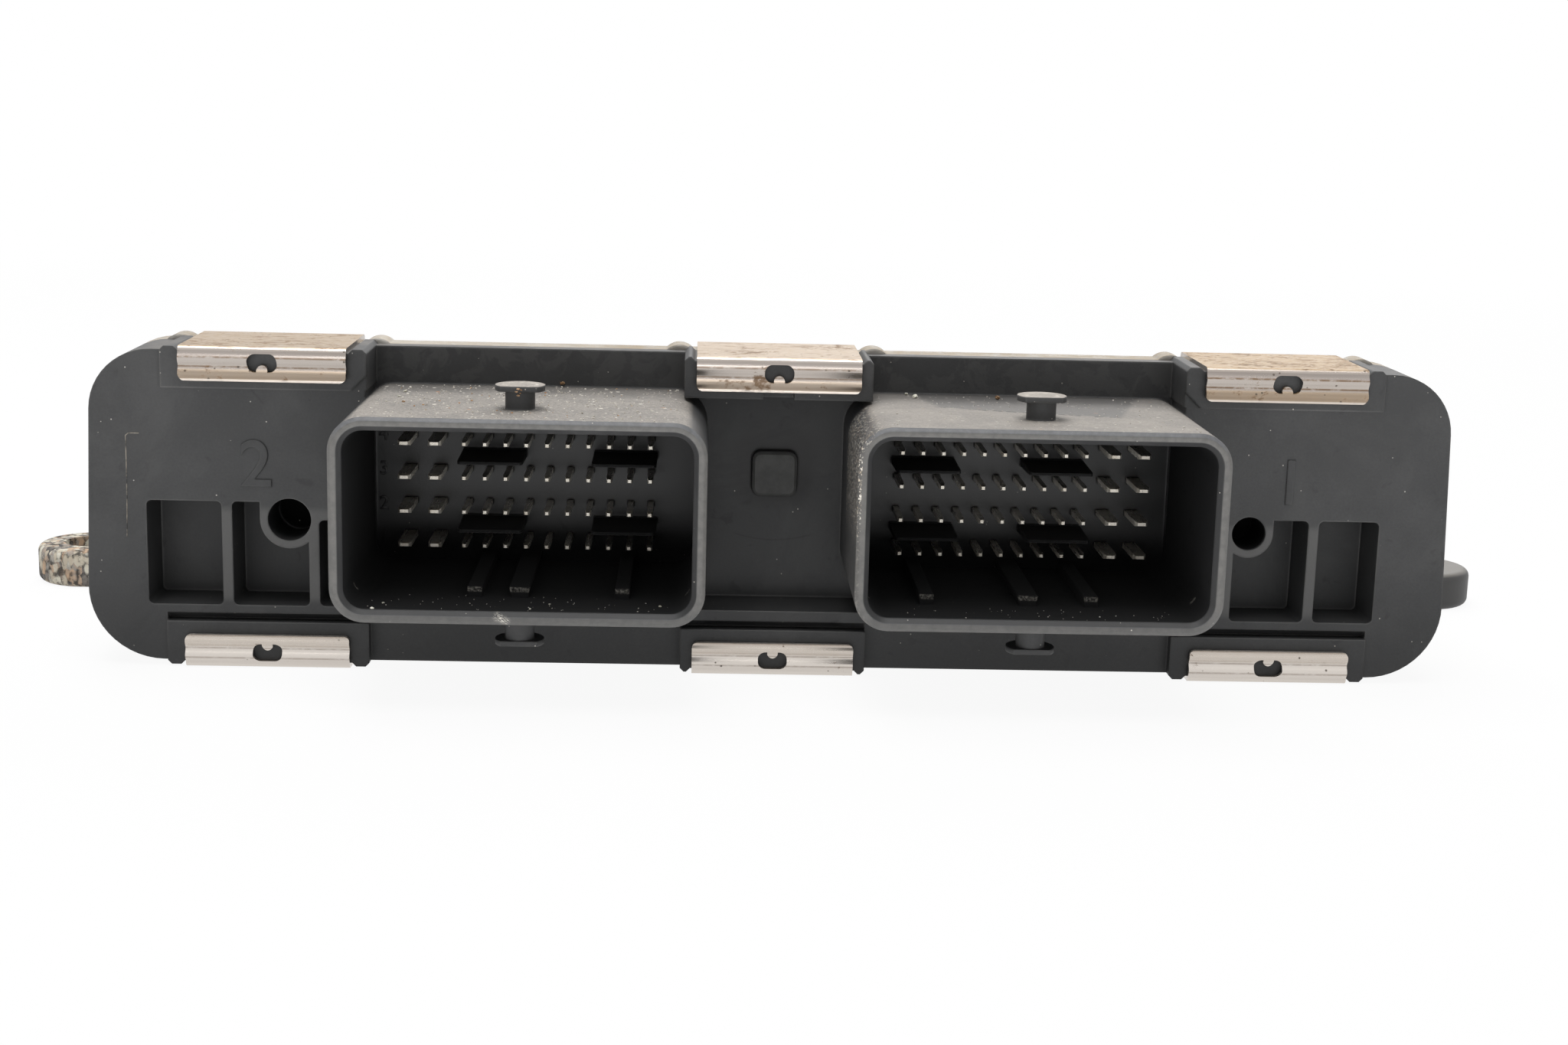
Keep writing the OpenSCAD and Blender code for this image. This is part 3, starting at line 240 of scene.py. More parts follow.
def makeStudio():
    scene = bpy.context.scene
    scene.view_settings.view_transform = "Standard"
    scene.world = bpy.data.worlds.new("studioWorld")
    scene.world.use_nodes = True
    sky = Bench(scene.world.node_tree)
    sky.tree.nodes.clear()
    strength = sky.add("ShaderNodeMapRange", None,
                       {"Value": seenDirectly(sky), "To Min": studio["ambient"], "To Max": 1.0})
    light = sky.add("ShaderNodeBackground", None, {"Color": rgb(1, 1, 1), "Strength": strength})
    sky.add("ShaderNodeOutputWorld", None, {"Surface": light})

    def hang(name, place, aim, size, watts, glossy):
        data = bpy.data.lights.new(name, "AREA")
        data.shape = "RECTANGLE"
        data.size, data.size_y = size
        data.energy = watts
        lamp = bpy.data.objects.new(name, data)
        lamp.location = place
        lamp.rotation_euler = aim.to_track_quat("-Z", "Y").to_euler()
        lamp.visible_camera = False
        lamp.visible_glossy = glossy
        scene.collection.objects.link(lamp)

    for name, place, size, watts, glossy in studio["lamps"]:
        hang(name, place, Vector(studio["aim"]) - Vector(place), size, watts, glossy)
    place, size, watts = studio["tableGlow"]
    hang("tableGlow", place, Vector((0.0, 0.0, 1.0)), size, watts, False)

    half = studio["floorSize"] / 2
    mesh = bpy.data.meshes.new("floor")
    corners = [(-half, -half, 0), (half, -half, 0), (half, half, 0), (-half, half, 0)]
    mesh.from_pydata(corners, [], [(0, 1, 2, 3)])
    floor = bpy.data.objects.new("floor", mesh)
    scene.collection.objects.link(floor)
    paint = Finish("floorPaint")
    x, y, z = paint.axes(paint.place)
    near = 1.0 - ((x * x + y * y) ** 0.5).step(*studio["shadowReach"])
    matt = paint.add("ShaderNodeBsdfDiffuse", None, {"Color": studio["floorColour"]})
    glow = paint.add("ShaderNodeEmission", None, {"Color": rgb(1, 1, 1), "Strength": 1.0})
    share = seenDirectly(paint) * (1.0 - near * studio["shadowShare"])
    mesh.materials.append(paint.close(paint.add("ShaderNodeMixShader", None, {0: share, 1: matt, 2: glow})))


makeStudio()
print("studio lit")


# glass-filled plastic of the header
header = {
    "black": rgb(0.019, 0.0194, 0.0199), "grey": rgb(0.038, 0.0383, 0.039),
    "shadeAndStains": rgb(0.009, 0.009, 0.0095), "worn": rgb(0.1, 0.098, 0.095),
    # ring: the scuffed rim; bevel: painted sheen, the lighter bluish tone of the rim's upward-facing bevel
    "ring": rgb(0.086, 0.083, 0.078), "bevel": rgb(0.112, 0.114, 0.12),
    "dust": rgb(0.425, 0.388, 0.346), "pale": rgb(0.72, 0.68, 0.6),
    "rust": rgb(0.42, 0.2, 0.09), "tan": rgb(0.4, 0.33, 0.25),
    "roughness": 0.46, "roughest": 0.95, "grain": 3.4, "edge": 0.00035, "bump": (0.36, 0.00006),
    # places in millimetres, where a pair is the start and end of a soft step
    "socket": (28.55, 21.43), "shroudHalf": (20.4, 11.33), "shroudCorner": 3.8, "cornerSoft": 0.08,
    "cavityInset": 0.75, "ringInset": 0.95, "shroudInset": -0.1,
    "rimEnd": (-51.5, -51.3), "ringEnd": (-51.65, -51.45), "ringLow": (11.0, 13.0),
    "plateFront": (-34.2, -33.9), "shroudRear": (-25.95, -25.7), "recessFrom": (-27.2, -26.6),
    "wallFrom": (-26.8, -26.2), "glossFrom": (13.0, 18.5), "rightFrom": (-1.0, 1.0),
    "topsFrom": (30.0, 30.4), "headFrom": (33.3, 33.6), "bandFrom": (32.7, 33.1), "crestFrom": (32.5, 33.5),
    "thinDust": (-37.0, -27.0), "dustySide": (8.0, 11.5), "dustyFrom": (18.0, 24.0),
    "post": (28.95, -43.6, 1.65), "postRing": 0.25,
    "sillX": (7.8, 8.4), "sillY": (-33.4, -33.0), "sillZ": (5.9, 7.4),
    "ribsX": (49.0, 69.0, 0.6), "ribsY": (-33.05, -32.9), "ribsZ": (8.6, 18.2, 1.2),
    "keyFronts": (-45.3, -44.8), "keyTops": (12.35, 12.9), "boreFrom": (-32.9, -32.4),
    "guardsEnd": (-27.5, -27.0), "guardsZ": 22.0, "guardsBox": (17.6, 8.0, 1.0, 0.3),
    "boreX": 56.2, "boreZ": 17.8, "boreBox": (2.6, 2.6, 2.6, 0.15),
    # painted shadow round the vent: its height, half sizes, corner and softness
    "ventZ": 23.9, "ventShade": (4.3, 4.2, 2.6, 1.9),
    "flowLine": 14.66, "flowBend": 0.035, "flowEnds": (4.2, 5.0),
    "smear": (-30.26, 10.82), "smearSlope": (0.9, 0.45), "smearBox": (0.85, 0.35, 0.3, 0.3),
    # edges of the wiped patch on the right shroud: place at y or x 0, slope
    "wipedFront": (-32.0, -0.25), "wipedRight": (51.3, 0.3), "wipedLeft": (8.9, -0.24),
    # painted shade: share of the darkest tone in each zone, where little light reaches
    "paintedShadeIn": {"cavity": 0.75, "lead": 0.8, "bore": 0.9, "shade": 0.9, "sill": 0.7, "recess": 0.4},
}


# masks of the places on the header
def headerZones(f, x, y, z):
    socketX, socketZ = header["socket"]
    u, v = x.size() - socketX, z - socketZ
    halfU, halfV = header["shroudHalf"]

    def inShroud(inset):
        return f.roundedBox(u, v, halfU - inset, halfV - inset,
                            header["shroudCorner"] - inset, header["cornerSoft"])

    at = SimpleNamespace()
    at.rim = 1.0 - y.step(*header["rimEnd"])
    at.cavity = inShroud(header["cavityInset"]) * (1.0 - at.rim)
    inRing = inShroud(header["ringInset"])
    at.ring = (1.0 - inRing) * (1.0 - y.step(*header["ringEnd"]))
    at.lead = inRing * at.rim
    at.forward = 1.0 - y.step(*header["plateFront"])
    onShroud = inShroud(header["shroudInset"]) * (1.0 - y.step(*header["shroudRear"]))
    at.shroud = at.forward.atLeast(onShroud) * (1.0 - at.cavity)
    at.recess = y.step(*header["recessFrom"]) * (1.0 - at.cavity)
    at.head = at.forward * z.step(*header["headFrom"])
    at.right = x.step(*header["rightFrom"])
    # the sill between the shrouds, darkened by painted shade
    at.sill = z.band(*header["sillZ"], 0.2) * (1.0 - x.size().step(*header["sillX"]))
    at.sill = at.sill * y.step(*header["sillY"])
    # the guard blades, whose front edges get a painted highlight
    at.guard = f.roundedBox(u, z - header["guardsZ"], *header["guardsBox"])
    at.guard = at.guard * (1.0 - y.step(*header["guardsEnd"])) * at.cavity
    # the ribs between the pockets, lightened by painted light
    at.ribs = x.size().band(*header["ribsX"]) * z.band(*header["ribsZ"])
    at.ribs = at.ribs * (1.0 - y.step(*header["ribsY"])) * (1.0 - at.shroud)
    at.bore = f.roundedBox(x.size() - header["boreX"], z - header["boreZ"], *header["boreBox"])
    at.bore = at.bore * y.step(*header["boreFrom"])
    # painted shadow round the vent
    at.shade = f.roundedBox(x, z - header["ventZ"], *header["ventShade"]) * at.recess
    at.keyTops = at.cavity * y.band(*header["keyFronts"], 0.1) * z.band(*header["keyTops"], 0.2)
    return at


# the patch on the right shroud that was wiped, and the dark line before it
def wipedPatch(x, y, at, mottle, fine):
    front, right, left = header["wipedFront"], header["wipedRight"], header["wipedLeft"]
    wiggle = (mottle - 0.5) * 3.0 + (fine - 0.5) * 0.8
    fromFront = y - x * front[1] - front[0] + wiggle
    fromRight = y * right[1] - x + right[0]
    fromLeft = x - y * left[1] - left[0]
    between = fromRight.step(0.0, 0.9) * fromLeft.step(0.0, 1.6) * (1.0 - at.head)
    line = (1.0 - fromFront.size().step(0.08, 0.3)) * between * fine.step(0.42, 0.56)
    return fromFront.step(0.0, 0.4) * between, line


# a short slanting scratch on the left rim
def scratchMask(f, x, z, at):
    startX, startZ = header["smear"]
    run, rise = header["smearSlope"]
    beside = (x - startX) * rise + (z - startZ) * run
    onward = (x - startX) * run - (z - startZ) * rise
    drawn = f.add("ShaderNodeCombineXYZ", None, {0: beside * 9.0, 1: onward * 2.4})
    strokes = f.noise(1.0, 3.0, 0.7, drawn).step(0.46, 0.6)
    return f.roundedBox(onward, beside, *header["smearBox"]) * at.rim * strokes


def plasticFinish():
    f = Finish("headerPlastic")
    x, y, z = f.axes(f.place)
    across, _, up = f.axes(f.normal)
    soft, edge = f.softEdge(header["edge"])
    mottle = f.noise(0.09, 4.0, 0.6)
    fine = f.noise(1.1, 4.0, 0.65)
    grain = f.noise(header["grain"], 3.0, 0.7)
    grains = grain.step(0.38, 0.68)
    at = headerZones(f, x, y, z)
    wiped, wipedLine = wipedPatch(x, y, at, mottle, fine)

    # dust on what faces up, thinner towards the wall
    patches = f.noise(0.16, 5.0, 0.65, warp=0.4).step(0.36, 0.66)
    lying = up.step(0.8, 0.95)
    tops = lying * at.shroud * z.step(*header["topsFrom"])
    towardsWall = (y + (patches - 0.5) * 6.0).step(*header["thinDust"]) * (1.0 - at.head)
    depth = 0.3 + patches * 0.2 + grains * (0.4 - 0.22 * at.right) + at.right * 0.12 + at.head * 0.3
    depth = depth * (1.0 - towardsWall * 0.6) * (1.0 - wiped * 0.62)
    crest = lying * (1.0 - at.shroud) * z.step(*header["crestFrom"])
    dust = tops * depth + crest * patches * 0.2
    side = (1.0 - across.step(-0.6, -0.2)) * x.band(*header["dustySide"], 0.3) * at.forward
    side = side * grain.step(0.52, 0.64) * (0.12 + 0.75 * z.step(*header["dustyFrom"]))
    postX, postY, postR = header["post"]
    fromPost = ((x.size() - postX) ** 2.0 + (y - postY) ** 2.0) ** 0.5
    foot = fromPost.band(postR, postR + header["postRing"], header["postRing"]) * tops * fine.step(0.45, 0.6)

    # scuffs, stains and marks; the pale edges are partly wear and partly painted highlights
    edgeWearAndHighlight = edge.step(0.02, 0.2) * mottle.step(0.25, 0.6) * (0.85 - 0.15 * at.shroud)
    edgeWearAndHighlight = edgeWearAndHighlight * (1.0 - at.cavity + at.guard * 0.6) * (1.0 - at.sill)
    stains = f.noise(0.42, 3.0, 0.5, warp=0.6).step(0.64, 0.74) * (1.0 - at.shroud)
    flow = (z - (x * x * header["flowBend"] + header["flowLine"])).size()
    flowLine = (1.0 - flow.step(0.05, 0.16)) * (1.0 - x.size().step(*header["flowEnds"])) * at.recess
    blotches = f.noise(0.3, 5.0, 0.62, warp=0.5).step(0.47, 0.56) * at.recess * z.step(*header["bandFrom"])
    film = f.noise(0.06, 6.0, 0.7, warp=0.6).step(0.45, 0.62) * (1.0 - at.cavity)
    few = f.specks(1.7, 0.04, 0.16) * 0.45 + f.specks(0.5, 0.12, 0.04) * 0.4
    few = few * (1.0 - tops) * (1.0 - at.cavity * 0.7)
    many = (f.specks(1.6, 0.12, 0.3) + f.specks(0.7, 0.1, 0.22)) * tops * (1.0 - at.right * 0.65)
    pale = (few + many).atMost(1.0)
    marks = pale + scratchMask(f, x, z, at) * 0.6 + at.keyTops * grains * 0.35 + foot * 0.5
    rust = f.specks(0.61, 0.03, 0.22) * tops * (1.0 - at.right * 0.8)

    # the tones, from the moulding itself to what lies on it, with painted shade in the hollows, a painted
    # sheen on the rim's bevel and painted highlights on edges and ribs
    greyer = mottle.step(0.35, 0.75) * 0.5 + at.shroud * 0.35 + (grain - 0.5) * 0.9
    base = f.blend(greyer, header["black"], header["grey"])
    # painted shade in the hollows, added to the real flow line and stains
    shadeAndStains = flowLine * 0.45 + stains * 0.6
    for zone, share in header["paintedShadeIn"].items():
        shadeAndStains = shadeAndStains + getattr(at, zone) * share
    base = f.blend(shadeAndStains, base, header["shadeAndStains"])
    ring = at.ring * (0.6 + 0.4 * fine.step(0.3, 0.7)) * (0.65 + 0.35 * z.step(*header["ringLow"]))
    # painted sheen: the ring's upward-facing bevel takes the lighter bluish bevel tone
    base = f.blend(ring, base, f.blend(up.step(0.2, 0.6), header["ring"], header["bevel"]))
    # painted highlight on the ribs, added to the edge wear and stains
    wornAndLit = edgeWearAndHighlight.atLeast(blotches * 0.19).atLeast(film * 0.08).atLeast(at.ribs * 0.4)
    base = f.blend(wornAndLit, base, header["worn"])
    base = f.blend(dust, base, header["dust"])
    base = f.blend(wipedLine * tops, base, header["shadeAndStains"])
    base = f.blend(side * 0.9, base, f.blend(fine.step(0.4, 0.6), header["tan"], header["pale"]))
    base = f.blend(marks.atMost(1.0), base, header["pale"])
    base = f.blend(rust, base, header["rust"])

    # gloss only high on the sockets' back walls
    low = 1.0 - z.step(*header["glossFrom"]) * y.step(*header["wallFrom"])
    dull = at.cavity * (low * 0.6 - 0.2) + at.bore * 0.4
    rough = header["roughness"] + dull + mottle * 0.12 + (dust + edgeWearAndHighlight * 0.4 + side) * 0.35
    height = grain * 0.6 + dust * grain * 1.2 + (pale + rust + side) * 2.0
    return f.surface({"Base Color": base, "Roughness": rough.atMost(header["roughest"]),
                      "Metallic": (at.cavity * low * 0.6).atLeast(at.bore * 0.8),
                      "Normal": f.bump(height, *header["bump"], soft)})


# rolled spring steel, darker along its creases, with brown stains, a painted shaded band and painted
# highlights
clips = {
    # bright: the lower clips' lighter steel, the painted highlight band and the painted highlight on the lip;
    # shade: the painted shaded band
    "steel": rgb(0.49, 0.44, 0.4), "warm": rgb(0.38, 0.33, 0.29), "bright": rgb(0.66, 0.61, 0.56),
    "shade": rgb(0.3, 0.265, 0.245),
    "tan": rgb(0.34, 0.235, 0.125), "foot": rgb(0.3, 0.235, 0.175), "stain": rgb(0.15, 0.085, 0.04),
    "grime": rgb(0.06, 0.045, 0.03), "roughness": 0.2,
    "middle": 18.95, "creases": (17.63, 16.52), "footAt": 16.4, "front": -33.7,
    "shadedBand": (17.75, 18.3), "highlightBand": (16.65, 17.5), "lipEnd": (15.02, 15.16),
    # how stained each clip is, and the shift of its pattern
    "tops": {"left": (0.75, (0.31, 0.0, 0.07)), "centre": (0.6, (120.0, 50.0, 0.0)),
             "right": (1.0, (0.0, 90.0, 20.0))},
    "under": (0.15, (20.0, 30.0, 110.0)),
}


def steelFinish(name, stained, shift, steel):
    f = Finish(name)
    _, y, z = f.axes(f.place)
    up = f.axes(f.normal)[2]
    streaks = f.noise(1.0, 3.0, 0.6, f.spread(0.055, 2.6, 2.6, shift))
    cloud = f.noise(0.21, 5.0, 0.68, f.spread(1.0, 1.0, 1.0, shift), 0.5)
    fine = f.noise(1.4, 4.0, 0.7, f.spread(0.7, 1.0, 1.0, shift))
    lying = up.step(0.6, 0.95)
    front = 1.0 - y.step(clips["front"] - 0.1, clips["front"] + 0.1)
    fromMiddle = (z - clips["middle"]).size()
    upper, lower = [1.0 - (fromMiddle - place).size().step(0.04, 0.16) for place in clips["creases"]]
    crease = (upper + lower) * front
    foot = (1.0 - fromMiddle.step(clips["footAt"] - 0.3, clips["footAt"])) * front
    soiled = lying * 0.06 + foot * 0.08
    brown = cloud + (fine - 0.5) * 0.6 + soiled * stained
    brown = brown.step(0.68 - 0.08 * stained, 0.78 - 0.05 * stained)
    # thin dirty lines along the top, where one noise crosses its middle
    wavy = f.noise(0.3, 4.0, 0.6, f.spread(0.45, 1.6, 1.0, shift), 0.8)
    lines = (1.0 - (wavy - 0.5).size().step(0.006, 0.03)) * lying * stained * cloud.step(0.4, 0.52)
    tan = (lying + foot * 0.3) * (0.3 + 0.7 * stained) * (0.68 + 0.32 * fine.step(0.3, 0.65))
    specks = f.specks(1.5, 0.04 + 0.1 * stained, 0.26, f.spread(1.0, 1.0, 1.0, shift))
    base = f.blend(streaks.step(0.3, 0.7) * (0.05 + 0.6 * stained), steel, clips["warm"])
    # painted shade: a darker band near the top bend, stronger on the more stained clips
    shadedBand = fromMiddle.band(*clips["shadedBand"], 0.15) * front
    # painted highlight: a lighter band between the two creases
    highlightBand = fromMiddle.band(*clips["highlightBand"], 0.06) * front
    base = f.blend(shadedBand * 0.6 * stained, base, clips["shade"])
    base = f.blend(highlightBand * 0.35, base, clips["bright"])
    base = f.blend(foot * 0.8 * stained, base, clips["foot"])
    base = f.blend(tan * 0.95, base, clips["tan"])
    base = f.blend(crease * fine.step(0.3, 0.55) * (0.25 + 0.6 * stained), base, clips["stain"])
    base = f.blend((brown * 0.85).atLeast(lines * 0.9), base, clips["stain"])
    base = f.blend(specks * 0.8, base, clips["grime"])
    # painted highlight along the bent-out lower lip
    lipHighlight = (1.0 - fromMiddle.step(*clips["lipEnd"])) * front
    base = f.blend(lipHighlight * 0.9, base, clips["bright"])
    dull = (brown * 0.8 + tan * 0.6 + lines * 0.5 + specks * 0.5 + crease * 0.3).atMost(1.0)
    rough = clips["roughness"] + streaks * 0.1 + dull * 0.42
    return f.surface({"Base Color": base, "Metallic": 1.0 - dull * 0.75, "Roughness": rough.atMost(0.9),
                      "Normal": f.bump(streaks * 0.5 + fine * 0.3 + dull * 0.4, 0.2, 0.00004)})


# die-cast aluminium, dull, with tan dirt on top and corroded on the left ear
casting = {
    "metal": rgb(0.42, 0.4, 0.365), "dark": rgb(0.14, 0.135, 0.13), "tan": rgb(0.36, 0.28, 0.18),
    "oily": rgb(0.034, 0.034, 0.035), "black": rgb(0.025, 0.023, 0.022),
    "earFrom": 79.0, "flangeEnd": (-20.0, -12.0), "edge": 0.0005,
    # colours of the corroded grains, by chance
    "crust": [(0.0, rgb(0.04, 0.038, 0.042)), (0.24, rgb(0.27, 0.245, 0.22)), (0.42, rgb(0.64, 0.45, 0.3)),
              (0.58, rgb(0.35, 0.32, 0.29)), (0.7, rgb(0.78, 0.75, 0.64)), (0.9, rgb(0.6, 0.53, 0.42))],
}


def castFinish():
    f = Finish("castAluminium")
    x, y, _ = f.axes(f.place)
    up = f.axes(f.normal)[2]
    cloud = f.noise(0.075, 5.0, 0.62)
    fine = f.noise(0.9, 5.0, 0.7)
    drawn = f.spread(1.0, 1.0, 0.5)
    pits = f.cells(1.3, drawn)
    leftEar = 1.0 - x.step(-casting["earFrom"] - 2.0, -casting["earFrom"])
    rightEar = x.step(casting["earFrom"], casting["earFrom"] + 2.0)
    lying = up.step(0.5, 0.9)
    flange = 1.0 - y.step(*casting["flangeEnd"])
    dirt = (lying * 0.45 + cloud.step(0.4, 0.7) * 0.35) * fine.step(0.25, 0.6)
    dirt = dirt * (1.0 - rightEar * (1.0 - lying * 0.5)) * (0.25 + 0.75 * flange)
    darker = cloud.step(0.3, 0.7) * (0.22 + 0.48 * flange)
    base = f.blend(darker, casting["metal"], casting["dark"])
    base = f.blend(rightEar * (0.95 - lying * 0.3), base, casting["oily"])
    base = f.blend(dirt.atMost(1.0), base, casting["tan"])
    chance = f.axes(f.cells(1.3, drawn, out="Color"))[0]
    crust = f.ramp(chance + (fine - 0.5) * 0.5, casting["crust"])
    base = f.blend(leftEar * 0.95, base, crust)
    seams = leftEar * pits.step(0.3, 0.62) * fine.step(0.42, 0.6)
    base = f.blend(seams * 0.9, base, casting["black"])
    dull = (dirt + leftEar).atMost(1.0)
    height = fine * 0.5 * (1.0 - rightEar * 0.6) - pits * leftEar * 1.6 + cloud * 0.4
    return f.surface({"Base Color": base, "Metallic": (0.75 - dull * 0.65) * (1.0 - rightEar * 0.9),
                      "Roughness": 0.5 + dull * 0.35,
                      "Normal": f.bump(height, 0.5, 0.0003, f.softEdge(casting["edge"])[0])})


# tin-plated pins, bright at their tips
pinMetal = {
    "tin": rgb(0.63, 0.595, 0.525), "worn": rgb(0.42, 0.37, 0.29),
    "metallic": 0.5, "onTop": 0.34, "roughness": 0.2,
}


def tinFinish():
    f = Finish("pinTin")
    up = f.axes(f.normal)[2]
    streaks = f.noise(1.0, 3.0, 0.6, f.spread(3.0, 0.18, 3.0))
    metallic = pinMetal["metallic"] + up.step(0.5, 0.9) * pinMetal["onTop"]
    base = f.blend(f.noise(0.7).step(0.42, 0.7) * 0.6, pinMetal["tin"], pinMetal["worn"])
    rough = pinMetal["roughness"] + streaks * 0.18
    return f.surface({"Base Color": base, "Metallic": metallic, "Roughness": rough,
                      "Normal": f.bump(streaks, 0.15, 0.00002)})


# pieces inside the can: material name, two tones, metallic, roughness,
# noise per millimetre, bump depth in millimetres
inner = {
    "vent_membrane": ("ventFilm", rgb(0.06, 0.06, 0.058), rgb(0.043, 0.043, 0.042), 0.0, 0.75, 0.6, 0.04),
    "perimeter_seal": ("sealRubber", rgb(0.03, 0.03, 0.032), rgb(0.02, 0.02, 0.021), 0.0, 0.7, 0.4, 0.04),
    "board_screws": ("screwZinc", rgb(0.6, 0.6, 0.58), rgb(0.5, 0.48, 0.42), 1.0, 0.35, 0.5, 0.02),
    "gap_pads": ("padSilicone", rgb(0.36, 0.4, 0.5), rgb(0.3, 0.34, 0.43), 0.0, 0.8, 0.3, 0.06),
    "pressure_sensor": ("sensorBody", rgb(0.3, 0.3, 0.27), rgb(0.24, 0.24, 0.22), 0.0, 0.5, 0.4, 0.03),
    "clock_crystal": ("crystalCan", rgb(0.66, 0.66, 0.63), rgb(0.55, 0.54, 0.5), 1.0, 0.3, 0.35, 0.02),
    "input_capacitors": ("capacitorCan", rgb(0.63, 0.63, 0.65), rgb(0.55, 0.55, 0.57), 1.0, 0.36, 0.26, 0.02),
    "choke_coil": ("ferriteCore", rgb(0.07, 0.07, 0.073), rgb(0.045, 0.045, 0.048), 0.0, 0.62, 0.42, 0.05),
    "ceramic_capacitors": ("filterCeramic", rgb(0.4, 0.3, 0.19), rgb(0.33, 0.23, 0.14), 0.0, 0.42, 0.9, 0.02),
    "shunt_resistors": ("shuntCeramic", rgb(0.05, 0.05, 0.055), rgb(0.03, 0.03, 0.034), 0.0, 0.45, 0.7, 0.02),
}
chips = {
    "names": ("microcontroller", "power_supply_chip", "injector_drivers", "ignition_drivers",
              "throttle_driver", "bus_transceivers"),
    "finish": ("chipEpoxy", rgb(0.028, 0.028, 0.03), rgb(0.018, 0.018, 0.02), 0.0, 0.55, 0.8, 0.04),
}


def innerFinish(name, light, dark, metallic, roughness, scale, depth):
    f = Finish(name)
    cloud = f.noise(scale, 4.0, 0.6)
    fine = f.noise(scale * 9.0, 3.0, 0.65)
    base = f.blend(cloud.step(0.3, 0.7), light, dark)
    rough = roughness + (fine - 0.5) * 0.2
    return f.surface({"Base Color": base, "Metallic": metallic, "Roughness": rough,
                      "Normal": f.bump(fine + cloud * 0.5, 0.3, depth * mm)})


# the board's solder resist, with copper runs showing through as a lighter green
board = {
    "resist": rgb(0.025, 0.13, 0.06), "runs": (rgb(0.03, 0.16, 0.07), rgb(0.035, 0.19, 0.085)),
    "gaps": rgb(0.02, 0.1, 0.045), "roughness": 0.32,
}


def boardFinish():
    f = Finish("boardResist")
    runs = f.add("ShaderNodeTexBrick", {"offset": 0.37, "squash": 1.6, "squash_frequency": 3},
                 {"Vector": f.place, "Scale": 0.26, "Mortar Size": 0.12, "Color1": board["runs"][0],
                  "Color2": board["runs"][1], "Mortar": board["gaps"]})
    cloud = f.noise(0.12)
    base = f.blend(cloud.step(0.4, 0.7) * 0.4, runs, board["resist"])
    return f.surface({"Base Color": base, "Roughness": board["roughness"] + cloud * 0.15,
                      "Normal": f.bump(f.noise(2.4, 2.0), 0.2, 0.00003)})


def dressNodes():
    finishes = {"connector_header": plasticFinish(), "housing": castFinish(),
                "circuit_board": boardFinish()}
    for name, row in inner.items():
        finishes[name] = innerFinish(*row)
    epoxy = innerFinish(*chips["finish"])
    finishes.update({name: epoxy for name in chips["names"]})
    tin = tinFinish()
    for side in ("left", "right"):
        finishes["signal_pins_" + side] = tin
        finishes["power_pins_" + side] = tin
    under = steelFinish("clipSteelUnder", *clips["under"], clips["bright"])
    for place, (stained, shift) in clips["tops"].items():
        finishes["clip_top_" + place] = steelFinish("clipSteelTop." + place, stained, shift, clips["steel"])
        finishes["clip_bottom_" + place] = under
    for name, material in finishes.items():
        mesh = nodes[name].data
        mesh.materials.clear()
        mesh.materials.append(material)
    print("nodes dressed:", len(finishes), "left plain:", sorted(set(nodes) - set(finishes)))
    return finishes["connector_header"]


plastic = dressNodes()


def keepMesh(name, mesh, material):
    piece = bpy.data.objects.new(name, mesh)
    mesh.materials.clear()
    mesh.materials.append(material)
    bpy.context.scene.collection.objects.link(piece)
    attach(piece, "root")
    return piece


# raised plain numbers: digit, middle in x and z and height in millimetres
numerals = {
    "endNumerals": {"face": -33.2, "rise": 0.1, "bevel": 0.1,
                    "marks": [("2", -60.1, 24.2, 5.6), ("1", 60.4, 24.25, 5.5)]},
    "rowNumbers": {"face": -25.6, "rise": 0.04, "bevel": 0.05,
                   "marks": [("4", -46.5, 26.8, 1.7), ("3", -46.5, 22.6, 1.7),
                             ("2", -46.5, 18.4, 1.7), ("1", -46.5, 14.3, 1.7)]},
    "fontShare": 1.38,
}


def digitMesh(digit, x, z, height, style):
    curve = bpy.data.curves.new("digit", "FONT")
    curve.body = digit
    curve.size = height * numerals["fontShare"] * mm
    curve.extrude = style["rise"] * mm
    curve.bevel_depth = style["bevel"] * mm
    curve.bevel_resolution = 1
    lump = bpy.data.objects.new("digit", curve)
    mesh = bpy.data.meshes.new_from_object(lump)
    bpy.data.objects.remove(lump)
    across = [vertex.co.x for vertex in mesh.vertices]
    along = [vertex.co.y for vertex in mesh.vertices]
    middle = Vector(((min(across) + max(across)) / 2, (min(along) + max(along)) / 2, 0))
    for vertex in mesh.vertices:
        flat = vertex.co - middle
        vertex.co = Vector((x * mm + flat.x, style["face"] * mm - flat.z, z * mm + flat.y))
    return mesh


def makeNumerals():
    for name in ("endNumerals", "rowNumbers"):
        style = numerals[name]
        joined = bmesh.new()
        for digit, x, z, height in style["marks"]:
            joined.from_mesh(digitMesh(digit, x, z, height, style))
        bmesh.ops.remove_doubles(joined, verts=joined.verts, dist=1e-7)
        bmesh.ops.recalc_face_normals(joined, faces=joined.faces)
        mesh = bpy.data.meshes.new(name)
        joined.to_mesh(mesh)
        joined.free()
        keepMesh(name, mesh, plastic)


makeNumerals()
print("numerals raised")


def gritFinish(name, light, dark):
    f = Finish(name)
    tone = f.noise(0.9, 3.0, 0.6)
    base = f.blend(tone.step(0.35, 0.65), light, dark)
    return f.surface({"Base Color": base, "Roughness": 0.75 + tone * 0.2,
                      "Normal": f.bump(f.noise(9.0, 2.0), 0.4, 0.00003)})


